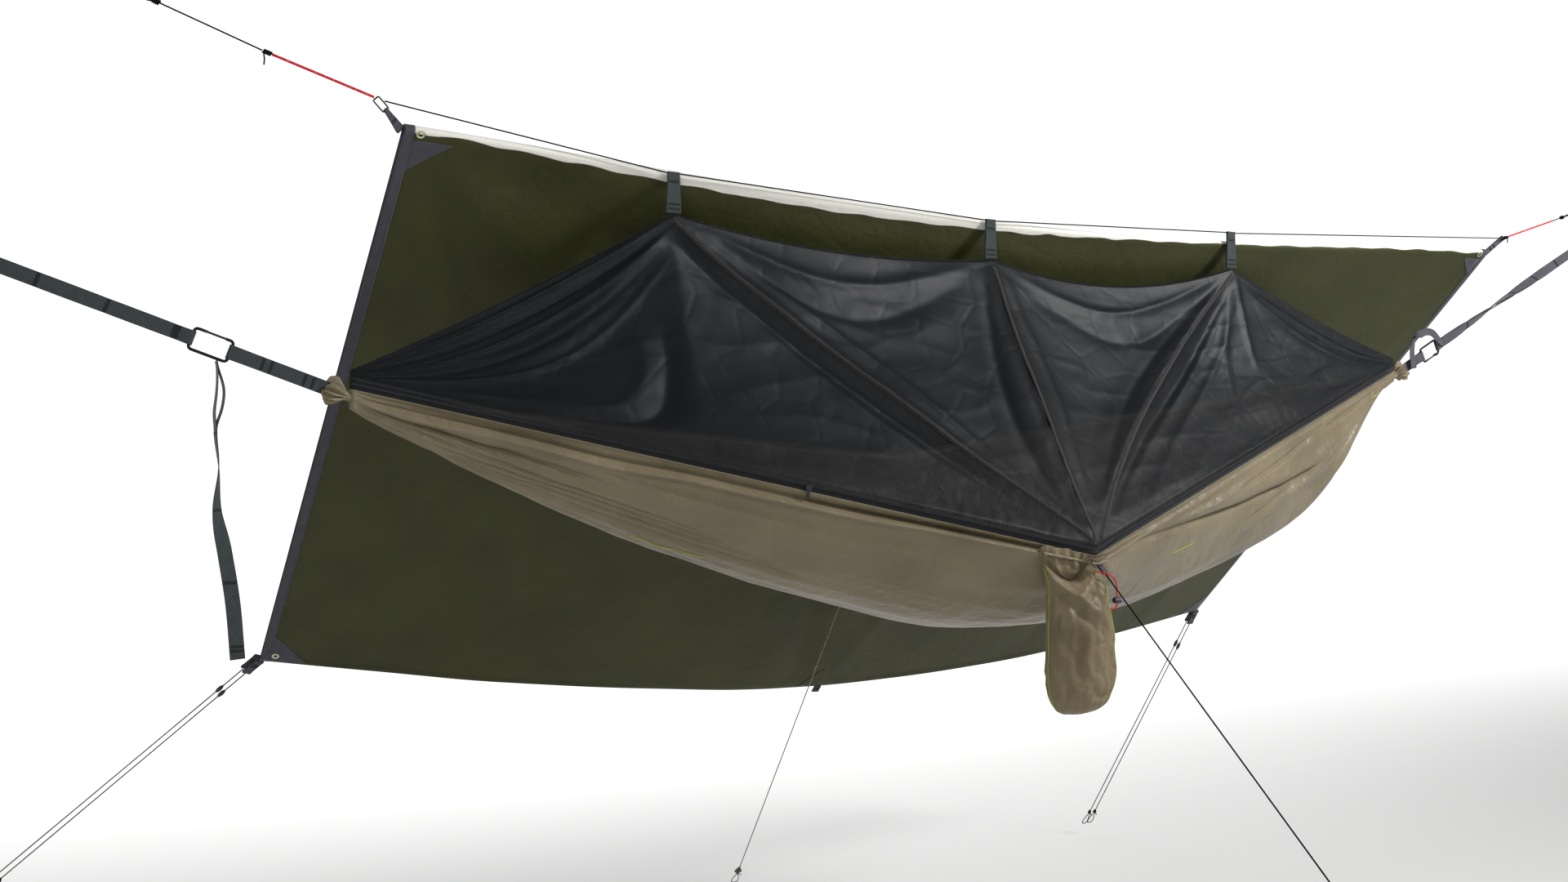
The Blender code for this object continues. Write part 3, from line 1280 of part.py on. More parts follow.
def build():
    clear_scene()
    anchor = Vector((0.0, 0.0, 0.0))
    suspension("left", LEFT_END, anchor, LEFT_SLING_REACH, 0.0, "webbing")
    right_rod = suspension("right", RIGHT_END, RIGHT_ANCHOR, RIGHT_SLING_REACH, math.pi, "pale_webbing")
    outward = (RIGHT_ANCHOR - RIGHT_END).normalized()
    short_tail("right_strap_tail", right_rod, outward, "pale_webbing")
    strap_tail("left_strap_tail", tail_top(), "webbing")
    link_centre, link_along = ridge()
    bed()
    net()
    zip_tape()
    zip_slider()
    ridge_tabs()
    near_start = pull_out_loop()
    sack()
    cord_lock()
    tarp()
    tarp_trim(link_centre, link_along)
    corner_guys()
    mid_loop()
    pull_out_guys(near_start)


build()
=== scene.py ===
# Looks of a camping hammock with a bug net and a tarp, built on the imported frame.
# Metres, +X along the hammock, +Y to the tarp's side, +Z up.
import bmesh
import bpy
import math
import numpy as np
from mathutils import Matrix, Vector


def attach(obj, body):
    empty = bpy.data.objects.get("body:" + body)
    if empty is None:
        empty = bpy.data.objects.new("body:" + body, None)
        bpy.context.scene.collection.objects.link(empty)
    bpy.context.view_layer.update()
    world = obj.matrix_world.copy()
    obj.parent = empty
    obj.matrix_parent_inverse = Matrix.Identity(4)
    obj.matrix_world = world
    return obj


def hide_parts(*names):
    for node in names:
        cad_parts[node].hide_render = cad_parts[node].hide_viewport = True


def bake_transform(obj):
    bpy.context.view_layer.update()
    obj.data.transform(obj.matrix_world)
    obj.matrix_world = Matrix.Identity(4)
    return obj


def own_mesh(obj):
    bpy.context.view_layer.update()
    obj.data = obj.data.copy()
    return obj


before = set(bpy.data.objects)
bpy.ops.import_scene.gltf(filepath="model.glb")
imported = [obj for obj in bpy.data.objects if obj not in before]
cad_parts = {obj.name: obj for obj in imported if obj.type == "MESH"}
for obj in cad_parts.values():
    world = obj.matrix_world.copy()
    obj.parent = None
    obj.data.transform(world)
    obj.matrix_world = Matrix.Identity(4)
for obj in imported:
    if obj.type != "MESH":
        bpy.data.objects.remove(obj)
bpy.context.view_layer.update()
up = np.array((0.0, 0.0, 1.0))
across = np.array((0.0, 1.0, 0.0))
gap = 0.0003
print("frame loaded")


# Small tools

def linearColour(hexColour):
    channels = [int(hexColour[i:i + 2], 16) / 255 for i in (1, 3, 5)]
    return tuple(c / 12.92 if c <= 0.04045 else ((c + 0.055) / 1.055) ** 2.4 for c in channels) + (1.0,)


def setValues(node, values):
    # sockets by their name or number, anything else as a property; a hex colour goes through linearColour
    for key, value in values.items():
        if isinstance(key, str) and key not in node.inputs:
            setattr(node, key, value)
        else:
            node.inputs[key].default_value = linearColour(value) if str(value).startswith("#") else value


def addNode(tree, kind, values=None, links=None):
    node = tree.nodes.new(kind)
    setValues(node, values or {})
    for key, source in (links or {}).items():
        tree.links.new(source, node.inputs[key])
    return node


def newObject(name, data):
    made = bpy.data.objects.new(name, data)
    bpy.context.scene.collection.objects.link(made)
    return made


def nodeName(name):
    # the CAD's name of a piece: leftEndSling is left_end_sling and netTab1 is net_tab_1
    return "".join("_" + letter.lower() if letter.isupper() or letter.isdigit() else letter for letter in name)


def dress(piece, body, node=None):
    # the CAD solid that a piece takes the place of, and the body it moves with
    if node:
        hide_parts(node)
    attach(piece, body)


def unit(v):
    v = np.asarray(v, dtype=float)
    return v / np.maximum(np.linalg.norm(v, axis=-1, keepdims=True), 1e-12)


def smoothStep(low, high, value):
    t = np.clip((np.asarray(value, dtype=float) - low) / (high - low), 0.0, 1.0)
    return t * t * (3 - 2 * t)


def latticeNoise(u, v, seed):
    # smooth noise from -1 to 1 on a square lattice with a fixed seed
    values = np.random.default_rng(seed).uniform(-1, 1, (256, 256))
    iu, iv = np.floor(u).astype(int), np.floor(v).astype(int)
    fu, fv = u - iu, v - iv
    fu, fv = fu * fu * (3 - 2 * fu), fv * fv * (3 - 2 * fv)
    a, b = values[iu % 256, iv % 256], values[(iu + 1) % 256, iv % 256]
    c, d = values[iu % 256, (iv + 1) % 256], values[(iu + 1) % 256, (iv + 1) % 256]
    return (a * (1 - fu) + b * fu) * (1 - fv) + (c * (1 - fu) + d * fu) * fv


def crease(away, width):
    # a soft-sided fold with a fairly sharp back
    return np.exp(-np.abs(away / width) ** 1.4)


def readTable(table, place):
    # smooth value between the pairs of a table
    places = np.array([pair[0] for pair in table])
    values = np.array([pair[1] for pair in table])
    slopes = np.empty(len(table))
    for k in range(len(table)):
        low, high = max(k - 1, 0), min(k + 1, len(table) - 1)
        slopes[k] = (values[high] - values[low]) / (places[high] - places[low])
    place = np.clip(place, places[0], places[-1])
    i = np.clip(np.searchsorted(places, place, side="right") - 1, 0, len(table) - 2)
    run = places[i + 1] - places[i]
    s = (place - places[i]) / run
    return ((2 * s**3 - 3 * s**2 + 1) * values[i] + (s**3 - 2 * s**2 + s) * run * slopes[i]
            + (3 * s**2 - 2 * s**3) * values[i + 1] + (s**3 - s**2) * run * slopes[i + 1])


def meshPiece(name, points, faces, finish, uvs=None, sharp=None):
    mesh = bpy.data.meshes.new(name)
    mesh.from_pydata(np.asarray(points, dtype=float).reshape(-1, 3).tolist(), [], faces)
    if uvs is not None:
        layer = mesh.uv_layers.new(name="cloth")
        corners = np.empty(len(mesh.loops), dtype=np.int64)
        mesh.loops.foreach_get("vertex_index", corners)
        layer.data.foreach_set("uv", np.asarray(uvs, dtype=float).reshape(-1, 2)[corners].ravel())
    mesh.materials.append(finish)
    mesh.shade_smooth()
    if sharp:
        mesh.set_sharp_from_angle(angle=math.radians(sharp))
    return newObject(name, mesh)


def turnOutwards(piece):
    # a closed mesh that comes out inside out, with a volume below nothing, has its faces turned over
    shape = bmesh.new()
    shape.from_mesh(piece.data)
    volume = shape.calc_volume(signed=True)
    shape.free()
    if volume < 0:
        piece.data.flip_normals()
    return piece


def gridNormals(grid):
    along = np.gradient(grid, axis=0)
    over = np.gradient(grid, axis=1)
    return unit(np.cross(along, over))


def clothPiece(name, grid, uvs, thickness, finish):
    # a closed thin sheet from a grid of points, thickened to both sides
    rows, columns = grid.shape[:2]
    normals = gridNormals(grid)
    front, back = grid + normals * thickness / 2, grid - normals * thickness / 2
    index = np.arange(rows * columns).reshape(rows, columns)
    a, b, c, d = (index[:-1, :-1].ravel(), index[:-1, 1:].ravel(), index[1:, 1:].ravel(), index[1:, :-1].ravel())
    faces = np.stack([a, d, c, b], axis=1).tolist()
    shift = rows * columns
    faces += np.stack([a + shift, b + shift, c + shift, d + shift], axis=1).tolist()
    rim = list(index[0, :]) + list(index[1:, -1]) + list(index[-1, -2::-1]) + list(index[-2:0:-1, 0])
    for k, here in enumerate(rim):
        there = rim[(k + 1) % len(rim)]
        faces.append((int(here), int(there), int(there) + shift, int(here) + shift))
    points = np.concatenate([front.reshape(-1, 3), back.reshape(-1, 3)])
    return meshPiece(name, points, faces, finish, np.concatenate([uvs.reshape(-1, 2)] * 2))


def placesAlong(points):
    # how far along a line each of its points is
    steps = np.linalg.norm(np.diff(np.asarray(points, dtype=float), axis=0), axis=1)
    return np.concatenate([[0], np.cumsum(steps)])


def pathLength(points):
    return float(placesAlong(points)[-1])


def resample(points, step):
    # even points along a smooth curve through the given ones
    points = np.asarray(points, dtype=float)
    padded = np.vstack([2 * points[0] - points[1], points, 2 * points[-1] - points[-2]])
    fine = []
    for k in range(1, len(padded) - 2):
        p0, p1, p2, p3 = padded[k - 1:k + 3]
        for s in np.linspace(0, 1, 12, endpoint=False):
            fine.append(0.5 * (2 * p1 + (p2 - p0) * s + (2 * p0 - 5 * p1 + 4 * p2 - p3) * s**2
                               + (3 * p1 - p0 - 3 * p2 + p3) * s**3))
    fine = np.array(fine + [points[-1]])
    lengths = placesAlong(fine)
    count = max(int(round(lengths[-1] / step)), 4)
    places = np.linspace(0, lengths[-1], count + 1)
    return np.stack([np.interp(places, lengths, fine[:, k]) for k in range(3)], axis=1)


def pathFrames(path, hint=(0.0, 0.0, 1.0)):
    # side and lift directions carried along a path without twist
    along = unit(np.gradient(path, axis=0))
    hint = np.asarray(hint, dtype=float)
    if abs(along[0] @ hint) > 0.95:
        hint = across
    side = unit(np.cross(along[0], hint))
    sides = [side]
    for k in range(1, len(path)):
        side = side - along[k] * (side @ along[k])
        side = side / np.linalg.norm(side)
        sides.append(side)
    sides = np.array(sides)
    return sides, np.cross(sides, along)


def sweep(name, path, sides, lifts, outline, finish, closed=False, sharp=None):
    # an outline, or one for each point, carried along a path: u runs round it and v along it, in metres
    path, count = np.asarray(path, dtype=float), len(path)
    outline = np.asarray(outline, dtype=float)
    if outline.ndim == 2:
        outline = np.repeat(outline[None], count, axis=0)
    corners = outline.shape[1]
    rings = path[:, None] + sides[:, None] * outline[..., :1] + lifts[:, None] * outline[..., 1:]
    around = placesAlong(np.vstack([outline[0], outline[0][:1]]))
    places = placesAlong(path)
    faces, mapped = [], []
    last = count if closed else count - 1
    for i in range(last):
        n = (i + 1) % count
        high = places[i + 1] if i + 1 < count else places[i] + np.linalg.norm(path[0] - path[-1])
        for k in range(corners):
            m = (k + 1) % corners
            faces.append((i * corners + k, i * corners + m, n * corners + m, n * corners + k))
            mapped += [(around[k], places[i]), (around[k + 1], places[i]),
                       (around[k + 1], high), (around[k], high)]
    if not closed:
        for ring, order in ((0, range(corners - 1, -1, -1)), (count - 1, range(corners))):
            faces.append(tuple(ring * corners + k for k in order))
            mapped += [(around[k], places[ring]) for k in order]
    piece = meshPiece(name, rings, faces, finish, sharp=sharp)
    layer = piece.data.uv_layers.new(name="cloth")
    layer.data.foreach_set("uv", np.array(mapped, dtype=float).ravel())
    return turnOutwards(piece)


def circle(radius, sides):
    angles = np.linspace(0, 2 * math.pi, sides, endpoint=False)
    return np.stack([np.cos(angles), np.sin(angles)], axis=1) * radius


def tapeOutline(width, thickness):
    # flat tape with rounded selvedges, a little thicker along them
    half, deep = width / 2, thickness / 2
    return [(-half + 0.35 * deep, -deep), (-half * 0.8, -deep * 0.9), (half * 0.8, -deep * 0.9),
            (half - 0.35 * deep, -deep), (half, -deep * 0.45), (half, deep * 0.45), (half - 0.35 * deep, deep),
            (half * 0.8, deep * 0.9), (-half * 0.8, deep * 0.9), (-half + 0.35 * deep, deep),
            (-half, deep * 0.45), (-half, -deep * 0.45)]


def joinPieces(name, pieces):
    # one mesh from several, all of them on the same body
    bpy.ops.object.select_all(action="DESELECT")
    for piece in pieces:
        piece.select_set(True)
    bpy.context.view_layer.objects.active = pieces[0]
    bpy.ops.object.join()
    pieces[0].name = name
    return pieces[0]


# Camera, at the photograph's angle

camera = {"place": (0.078, -2.673, -0.383), "turn": (91.718, 0.0, -28.3), "lens": 33.75}


def makeCamera():
    data = bpy.data.cameras.new("photoCamera")
    data.lens, data.sensor_width = camera["lens"], 36.0
    made = newObject("photoCamera", data)
    made.location = camera["place"]
    made.rotation_euler = [math.radians(angle) for angle in camera["turn"]]
    bpy.context.scene.camera = made


makeCamera()
print("camera made")


# Materials

# a wave texture's bands lie about 0.32 / Scale apart, and twice that when they are diagonal
bandSpacing = 0.318


def startFinish(name, constants):
    # a new material, its node tree, and its shader with the constants set
    made = bpy.data.materials.new(name)
    made.use_nodes = True
    shader = made.node_tree.nodes["Principled BSDF"]
    setValues(shader, constants)
    return made, made.node_tree, shader


def addRelief(tree, shader, *layers):
    # bumps laid one over another: what each takes its height from, its strength and its depth in metres
    below = {}
    for height, strength, depth in layers:
        bump = addNode(tree, "ShaderNodeBump", {"Strength": strength, "Distance": depth}, {"Height": height, **below})
        below = {"Normal": bump.outputs["Normal"]}
    tree.links.new(below["Normal"], shader.inputs["Normal"])


def wovenNylon(name, base, shade, rough, crumple, gloss, turned=None):
    # Downproof nylon taffeta, calendered: a dry low sheen, a fine even weave and sharp little creases.
    # Its threads are 0.2 mm apart, too fine to show, so the weave is drawn at 1.2 mm.
    weaveSize = 0.0012
    made, tree, shader = startFinish(name, {"Roughness": rough, "Specular IOR Level": gloss})
    uv = addNode(tree, "ShaderNodeUVMap", {"uv_map": "cloth"}).outputs["UV"]
    cloudy = addNode(tree, "ShaderNodeTexNoise", {"Scale": 5.0, "Detail": 5.0}, {"Vector": uv})
    tone = addNode(tree, "ShaderNodeMapRange", {"From Min": 0.35, "From Max": 0.7}, {"Value": cloudy.outputs["Fac"]})
    shown = addNode(tree, "ShaderNodeMix", {"data_type": "RGBA", 6: base, 7: shade},
                    {0: tone.outputs["Result"]}).outputs[2]
    if turned is not None:
        # the coated back of the cloth, wherever its edge is turned over, painted near white as a highlight from the
        # light above
        turn = addNode(tree, "ShaderNodeAttribute", {"attribute_name": "turned"}).outputs["Fac"]
        sharp = addNode(tree, "ShaderNodeMapRange", {"From Min": 0.45, "From Max": 0.55}, {"Value": turn})
        shown = addNode(tree, "ShaderNodeMix", {"data_type": "RGBA", 7: turned},
                        {0: sharp.outputs["Result"], 6: shown}).outputs[2]
    tree.links.new(shown, shader.inputs["Base Color"])
    warp, weft = (addNode(tree, "ShaderNodeTexWave", {"Scale": bandSpacing / weaveSize, "bands_direction": way},
                          {"Vector": uv}).outputs["Fac"] for way in ("X", "Y"))
    weave = addNode(tree, "ShaderNodeMath", {"operation": "MULTIPLY"}, {0: warp, 1: weft})
    ruck = addNode(tree, "ShaderNodeTexNoise", {"Scale": 16.0, "Detail": 2.5, "Roughness": 0.5, "Distortion": 0.8},
                   {"Vector": uv})
    cells = addNode(tree, "ShaderNodeTexVoronoi", {"Scale": 19.0, "feature": "DISTANCE_TO_EDGE"}, {"Vector": uv})
    lines = addNode(tree, "ShaderNodeMapRange", {"From Min": 0.0, "From Max": 0.12},
                    {"Value": cells.outputs["Distance"]})
    addRelief(tree, shader, (ruck.outputs["Fac"], crumple, 0.012), (lines.outputs["Result"], crumple * 0.8, 0.0016),
              (weave.outputs["Value"], 0.06, 0.0002))
    return made


def knittedNet(name, base, shade):
    # No-see-um polyester net, warp knitted and heat set: matt black, a little see-through, silky on its folds.
    # Its holes are 0.6 mm, too fine to show, so they are drawn at 1.8 mm and the rest of the gap is thinned evenly.
    made, tree, shader = startFinish(name, {"Roughness": 0.46, "Specular IOR Level": 0.26, "Sheen Weight": 0.05,
                                            "Sheen Roughness": 0.35})
    uv = addNode(tree, "ShaderNodeUVMap", {"uv_map": "cloth"}).outputs["UV"]
    cloudy = addNode(tree, "ShaderNodeTexNoise", {"Scale": 4.0, "Detail": 4.0}, {"Vector": uv})
    colour = addNode(tree, "ShaderNodeMix", {"data_type": "RGBA", 6: base, 7: shade}, {0: cloudy.outputs["Fac"]})
    tree.links.new(colour.outputs[2], shader.inputs["Base Color"])
    holes = addNode(tree, "ShaderNodeTexVoronoi", {"Scale": 1 / 0.0018, "Randomness": 0.15}, {"Vector": uv})
    solid = addNode(tree, "ShaderNodeMapRange", {"From Min": 0.1, "From Max": 0.5, "To Min": 0.38, "To Max": 0.64},
                    {"Value": holes.outputs["Distance"]})
    tree.links.new(solid.outputs["Result"], shader.inputs["Alpha"])
    ruck = addNode(tree, "ShaderNodeTexNoise", {"Scale": 7.0, "Detail": 3.0, "Roughness": 0.4, "Distortion": 0.6},
                   {"Vector": uv})
    cells = addNode(tree, "ShaderNodeTexVoronoi", {"Scale": 11.0, "feature": "DISTANCE_TO_EDGE"}, {"Vector": uv})
    lines = addNode(tree, "ShaderNodeMapRange", {"From Min": 0.0, "From Max": 0.10},
                    {"Value": cells.outputs["Distance"]})
    addRelief(tree, shader, (ruck.outputs["Fac"], 0.40, 0.010), (lines.outputs["Result"], 0.35, 0.0014))
    return made


def webbingWeave(name, base, shade, ribSize=0.0042):
    # Flat polyester webbing, needle loomed: dull, with ribs across it and softly lit selvedges.
    # Its ribs are 1 mm apart, and are drawn at 4.2 mm so that they show, or less on bindings, tapes and threads.
    made, tree, shader = startFinish(name, {"Roughness": 0.78, "Specular IOR Level": 0.20, "Sheen Weight": 0.12,
                                            "Sheen Roughness": 0.5})
    uv = addNode(tree, "ShaderNodeUVMap", {"uv_map": "cloth"}).outputs["UV"]
    scale = bandSpacing / ribSize
    ribs = addNode(tree, "ShaderNodeTexWave", {"Scale": scale, "bands_direction": "Y", "Distortion": 0.4},
                   {"Vector": uv})
    twill = addNode(tree, "ShaderNodeTexWave", {"Scale": scale, "bands_direction": "DIAGONAL"}, {"Vector": uv})
    yarn = addNode(tree, "ShaderNodeMath", {"operation": "MULTIPLY"}, {0: ribs.outputs["Fac"], 1: twill.outputs["Fac"]})
    cloudy = addNode(tree, "ShaderNodeTexNoise", {"Scale": 60.0, "Detail": 4.0}, {"Vector": uv})
    mixed = addNode(tree, "ShaderNodeMath", {"operation": "MULTIPLY_ADD", 1: 0.6},
                    {0: yarn.outputs["Value"], 2: cloudy.outputs["Fac"]})
    tone = addNode(tree, "ShaderNodeMapRange", {"From Min": 0.1, "From Max": 1.0}, {"Value": mixed.outputs["Value"]})
    colour = addNode(tree, "ShaderNodeMix", {"data_type": "RGBA", 6: shade, 7: base}, {0: tone.outputs["Result"]})
    tree.links.new(colour.outputs[2], shader.inputs["Base Color"])
    addRelief(tree, shader, (yarn.outputs["Value"], 0.4, 0.0004))
    return made


def braidedCord(name, base, fleck, fleckShare):
    # Polyester cord, braided over a core: fine plaits round it, and flecks where a second yarn shows.
    # Its plaits are 3 mm long, and are drawn at 9 mm so that they show.
    plaitSize, scarce = 0.0090, 0.62 - fleckShare * 0.4
    made, tree, shader = startFinish(name, {"Roughness": 0.65, "Specular IOR Level": 0.05})
    uv = addNode(tree, "ShaderNodeUVMap", {"uv_map": "cloth"}).outputs["UV"]
    mirrored = addNode(tree, "ShaderNodeMapping", {"Scale": (-1.0, 1.0, 1.0)}, {"Vector": uv}).outputs["Vector"]
    diagonal = {"Scale": 2 * bandSpacing / plaitSize, "bands_direction": "DIAGONAL"}
    left, right = (addNode(tree, "ShaderNodeTexWave", diagonal, {"Vector": way}).outputs["Fac"]
                   for way in (uv, mirrored))
    plait = addNode(tree, "ShaderNodeMath", {"operation": "MAXIMUM"}, {0: left, 1: right})
    flecks = addNode(tree, "ShaderNodeTexNoise", {"Scale": 260.0, "Detail": 1.0}, {"Vector": uv})
    share = addNode(tree, "ShaderNodeMapRange", {"From Min": scarce, "From Max": scarce + 0.04},
                    {"Value": flecks.outputs["Fac"]})
    colour = addNode(tree, "ShaderNodeMix", {"data_type": "RGBA", 6: base, 7: fleck}, {0: share.outputs["Result"]})
    tree.links.new(colour.outputs[2], shader.inputs["Base Color"])
    addRelief(tree, shader, (plait.outputs["Value"], 0.7, 0.0005))
    return made


def hardFinish(name, base, worn, metallic, rough, grain, coat=0.0):
    # One build for metal and moulded plastic: a fine grain in the gloss and a paler rub on the edges.
    wearShare = 0.35
    made, tree, shader = startFinish(name, {"Metallic": metallic, "Coat Weight": coat})
    place = addNode(tree, "ShaderNodeTexCoord").outputs["Object"]
    geometry = addNode(tree, "ShaderNodeNewGeometry")
    speckle = addNode(tree, "ShaderNodeTexNoise", {"Scale": 1 / grain, "Detail": 4.0}, {"Vector": place})
    edge = addNode(tree, "ShaderNodeMapRange", {"From Min": 0.52, "From Max": 0.62, "To Max": wearShare},
                   {"Value": geometry.outputs["Pointiness"]})
    colour = addNode(tree, "ShaderNodeMix", {"data_type": "RGBA", 6: base, 7: worn}, {0: edge.outputs["Result"]})
    tree.links.new(colour.outputs[2], shader.inputs["Base Color"])
    gloss = addNode(tree, "ShaderNodeMapRange", {"To Min": rough - 0.08, "To Max": rough + 0.1},
                    {"Value": speckle.outputs["Fac"]})
    tree.links.new(gloss.outputs["Result"], shader.inputs["Roughness"])
    addRelief(tree, shader, (speckle.outputs["Fac"], 0.15, 0.0002))
    return made


khakiNylon = wovenNylon("khakiNylonTaffeta", "#81765F", "#6D634F", 0.38, 0.45, 0.32)
sackNylon = wovenNylon("khakiNylonSack", "#7D7058", "#665A45", 0.45, 0.6, 0.20)
# the tarp's turned-over edge is painted near white: a painted highlight from the light above, over its coated back
oliveTarp = wovenNylon("olivePolyesterCoated", "#3F4124", "#37391E", 0.50, 0.22, 0.22, turned="#E9E8DF")
blackNet = knittedNet("blackPolyesterNet", "#111419", "#181C22")
blackTape = webbingWeave("blackZipTape", "#1E2023", "#141518", ribSize=0.0032)
slateWebbing = webbingWeave("slatePolyesterWebbing", "#3D4446", "#2B3031")
greyWebbing = webbingWeave("greyPolyesterWebbing", "#504F57", "#3A3A40")
greyBinding = webbingWeave("greyGrosgrainBinding", "#504E56", "#3B3A40", ribSize=0.0036)
limePiping = webbingWeave("limePipingCord", "#9DB04A", "#7F9038", ribSize=0.0036)
redShock = braidedCord("redShockCord", "#C4212F", "#E0525A", 0.2)
darkCord = braidedCord("darkGuyCord", "#0F1010", "#33322A", 0.10)
ridgeBraid = braidedCord("darkRidgeCord", "#151612", "#4A4C3A", 0.12)
oliveCord = braidedCord("oliveGuyCord", "#5C604A", "#9A9C88", 0.35)
blackCord = braidedCord("blackTieCord", "#0F1011", "#222427", 0.2)
blackThread = webbingWeave("blackThread", "#1B1C1E", "#101112", ribSize=0.0016)
paleThread = webbingWeave("paleThread", "#A49A84", "#877D68", ribSize=0.0016)
# anodised aluminium, forged: satin black with the grey of bare metal on its edges
anodised = hardFinish("blackAnodisedAluminium", "#191A1C", "#6B6E73", 0.75, 0.32, 0.0012)
# stainless steel wire, drawn: bright and smooth
drawnSteel = hardFinish("drawnStainlessWire", "#9EA2A6", "#C9CCCF", 1.0, 0.28, 0.0008)
# plated brass, pressed: pale gold with soft reflections
pressedBrass = hardFinish("platedBrassGrommet", "#D9D9B0", "#F0EFD8", 1.0, 0.3, 0.0015)
# acetal, moulded: black with a faint grain
blackAcetal = hardFinish("blackMouldedAcetal", "#121315", "#3A3C40", 0.0, 0.42, 0.0009)
# acetal, moulded: blue grey and a little glossy
greyAcetal = hardFinish("greyMouldedAcetal", "#7C8392", "#A5ABB8", 0.0, 0.35, 0.0009, coat=0.2)
print("materials made")


# Cords: the routes of the CAD's own cords, in metres

def endLoop(anchor, along, side, length=0.060, width=0.018, steps=24):
    points = []
    for k in range(1, steps + 1):
        turn = 0.955 * k / steps
        reach = math.sin(math.pi * turn) ** 0.8
        points.append(anchor + along * length * reach + side * width * 0.62 * math.sin(2 * math.pi * turn))
    return points


def straightRun(start, finish, steps):
    return [start + (finish - start) * k / steps for k in range(steps + 1)]


def cordPiece(name, path, diameter, finish, sides=12):
    path = np.asarray(path, dtype=float)
    acrossDirs, lifts = pathFrames(path)
    return sweep(name, path, acrossDirs, lifts, circle(diameter / 2, sides), finish)


def woundKnot(name, centre, along, coreRadius, cordSize, turns, finish, tail):
    # a wound knot: the cord's end coiled round its own standing part, each turn beside the last
    centre, along = np.asarray(centre, dtype=float), unit(along)
    side = unit(np.cross(along, up))
    lift = np.cross(side, along)
    radius = coreRadius + cordSize * 0.42
    length = turns * cordSize * 1.02
    path = []
    for s in np.linspace(0, 1, turns * 14 + 1):
        angle = 2 * math.pi * turns * s
        swell = radius * (0.92 + 0.12 * math.sin(math.pi * s))
        path.append(centre + along * length * (s - 0.5) + (side * math.cos(angle) + lift * math.sin(angle)) * swell)
    path += [path[-1] + np.asarray(step, dtype=float) for step in tail]
    return cordPiece(name, path, cordSize, finish, 8)


guyCord = {"size": 0.0030, "finish": darkCord, "slot": "black_cord"}
outerCord = {"size": 0.0030, "finish": blackCord, "slot": "black_cord", "side": (0, 1, 0)}
cordPlan = {
    # start and end of each run; a cord marked bends is baked in place rather than attached to a body
    "leftGuyInner": {**guyCord, "start": (0.62387, 1.08743, -0.83753), "end": (0.11, 1.85, -1.447)},
    "leftGuyOuter": {**guyCord, "start": (0.622, 1.09649, -0.82634), "end": (0.086, 1.85, -1.447)},
    "rightGuyInner": {**guyCord, "start": (3.66133, 1.08065, -0.85376), "end": (3.681, 1.597, -1.586)},
    "rightGuyOuter": {**guyCord, "start": (3.6598, 1.09027, -0.84418), "end": (3.657, 1.597, -1.586)},
    "nearGuy": {**guyCord, "node": "near_pull_out_guy", "start": (1.998, -0.43379, -0.55705),
                "end": (1.998, -1.02, -1.0665), "side": (1, 0, 0), "bends": True},
    "farGuy": {"node": "far_pull_out_guy", "start": (1.99812, 0.32126, -0.31529), "end": (2.205, 1.59, -1.6255),
               "size": guyCord["size"], "finish": oliveCord, "slot": "olive_cord", "bends": True},
    "leftOuterCord": {**outerCord, "start": (0.4827, 0.0, 0.37582), "end": (0.31255, 0.0, 0.43453)},
    "rightOuterCord": {**outerCord, "start": (4.04472, 0.0, 0.38196), "end": (4.08483, 0.0, 0.39443)},
}


def loopedCord(name, plan):
    start, end = np.array(plan["start"], dtype=float), np.array(plan["end"], dtype=float)
    along = unit(end - start)
    side = np.array(plan["side"], dtype=float) if "side" in plan else unit(np.cross(along, up))
    path = straightRun(start, end, 30) + endLoop(end, along, side)
    piece = cordPiece(name, path, plan["size"], plan["finish"])
    knot = woundKnot(name + "Knot", end + along * 0.002, along, plan["size"] * 0.9, plan["size"], 4, plan["finish"],
                     [side * 0.004 + along * 0.002, side * 0.009 + along * 0.007, side * 0.012 + along * 0.014])
    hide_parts(plan.get("node", nodeName(name)))
    if "bends" in plan:
        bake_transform(piece)
    else:
        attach(piece, "root")
    dress(knot, "root")


for cordName, plan in cordPlan.items():
    loopedCord(cordName, plan)

# ridge cord: straight between the tabs, level for a webbing's width over each
ridgeCord = {"left": (0.695, 0.0, 0.313), "right": (3.823, 0.0, 0.313), "size": 0.0030, "tabs": (1.267, 2.044, 2.777),
             "heights": (0.239, 0.211, 0.243), "flat": 0.0138, "step": 0.05}


def makeRidgeCord():
    corners = [np.array(ridgeCord["left"])]
    for x, z in zip(ridgeCord["tabs"], ridgeCord["heights"]):
        for shift in (-ridgeCord["flat"], ridgeCord["flat"]):
            corners.append(np.array((x + shift, 0.0, z)))
    corners.append(np.array(ridgeCord["right"]))
    path = [corners[0]]
    for a, b in zip(corners, corners[1:]):
        steps = max(2, round(float(np.linalg.norm(b - a)) / ridgeCord["step"]))
        path += straightRun(a, b, steps)[1:]
    piece = cordPiece("ridgeCord", path, ridgeCord["size"], ridgeBraid)
    dress(piece, "root", "ridge_cord")


makeRidgeCord()

shockPlan = {
    "leftShock": {"node": "left_shock_cord", "start": (0.67608, 0, 0.31778), "end": (0.49888, 0, 0.37094),
                  "size": 0.0050},
    "rightShock": {"node": "right_shock_cord", "start": (3.83914, 0, 0.31802), "end": (4.04444, 0, 0.38187),
                   "size": 0.0045},
}


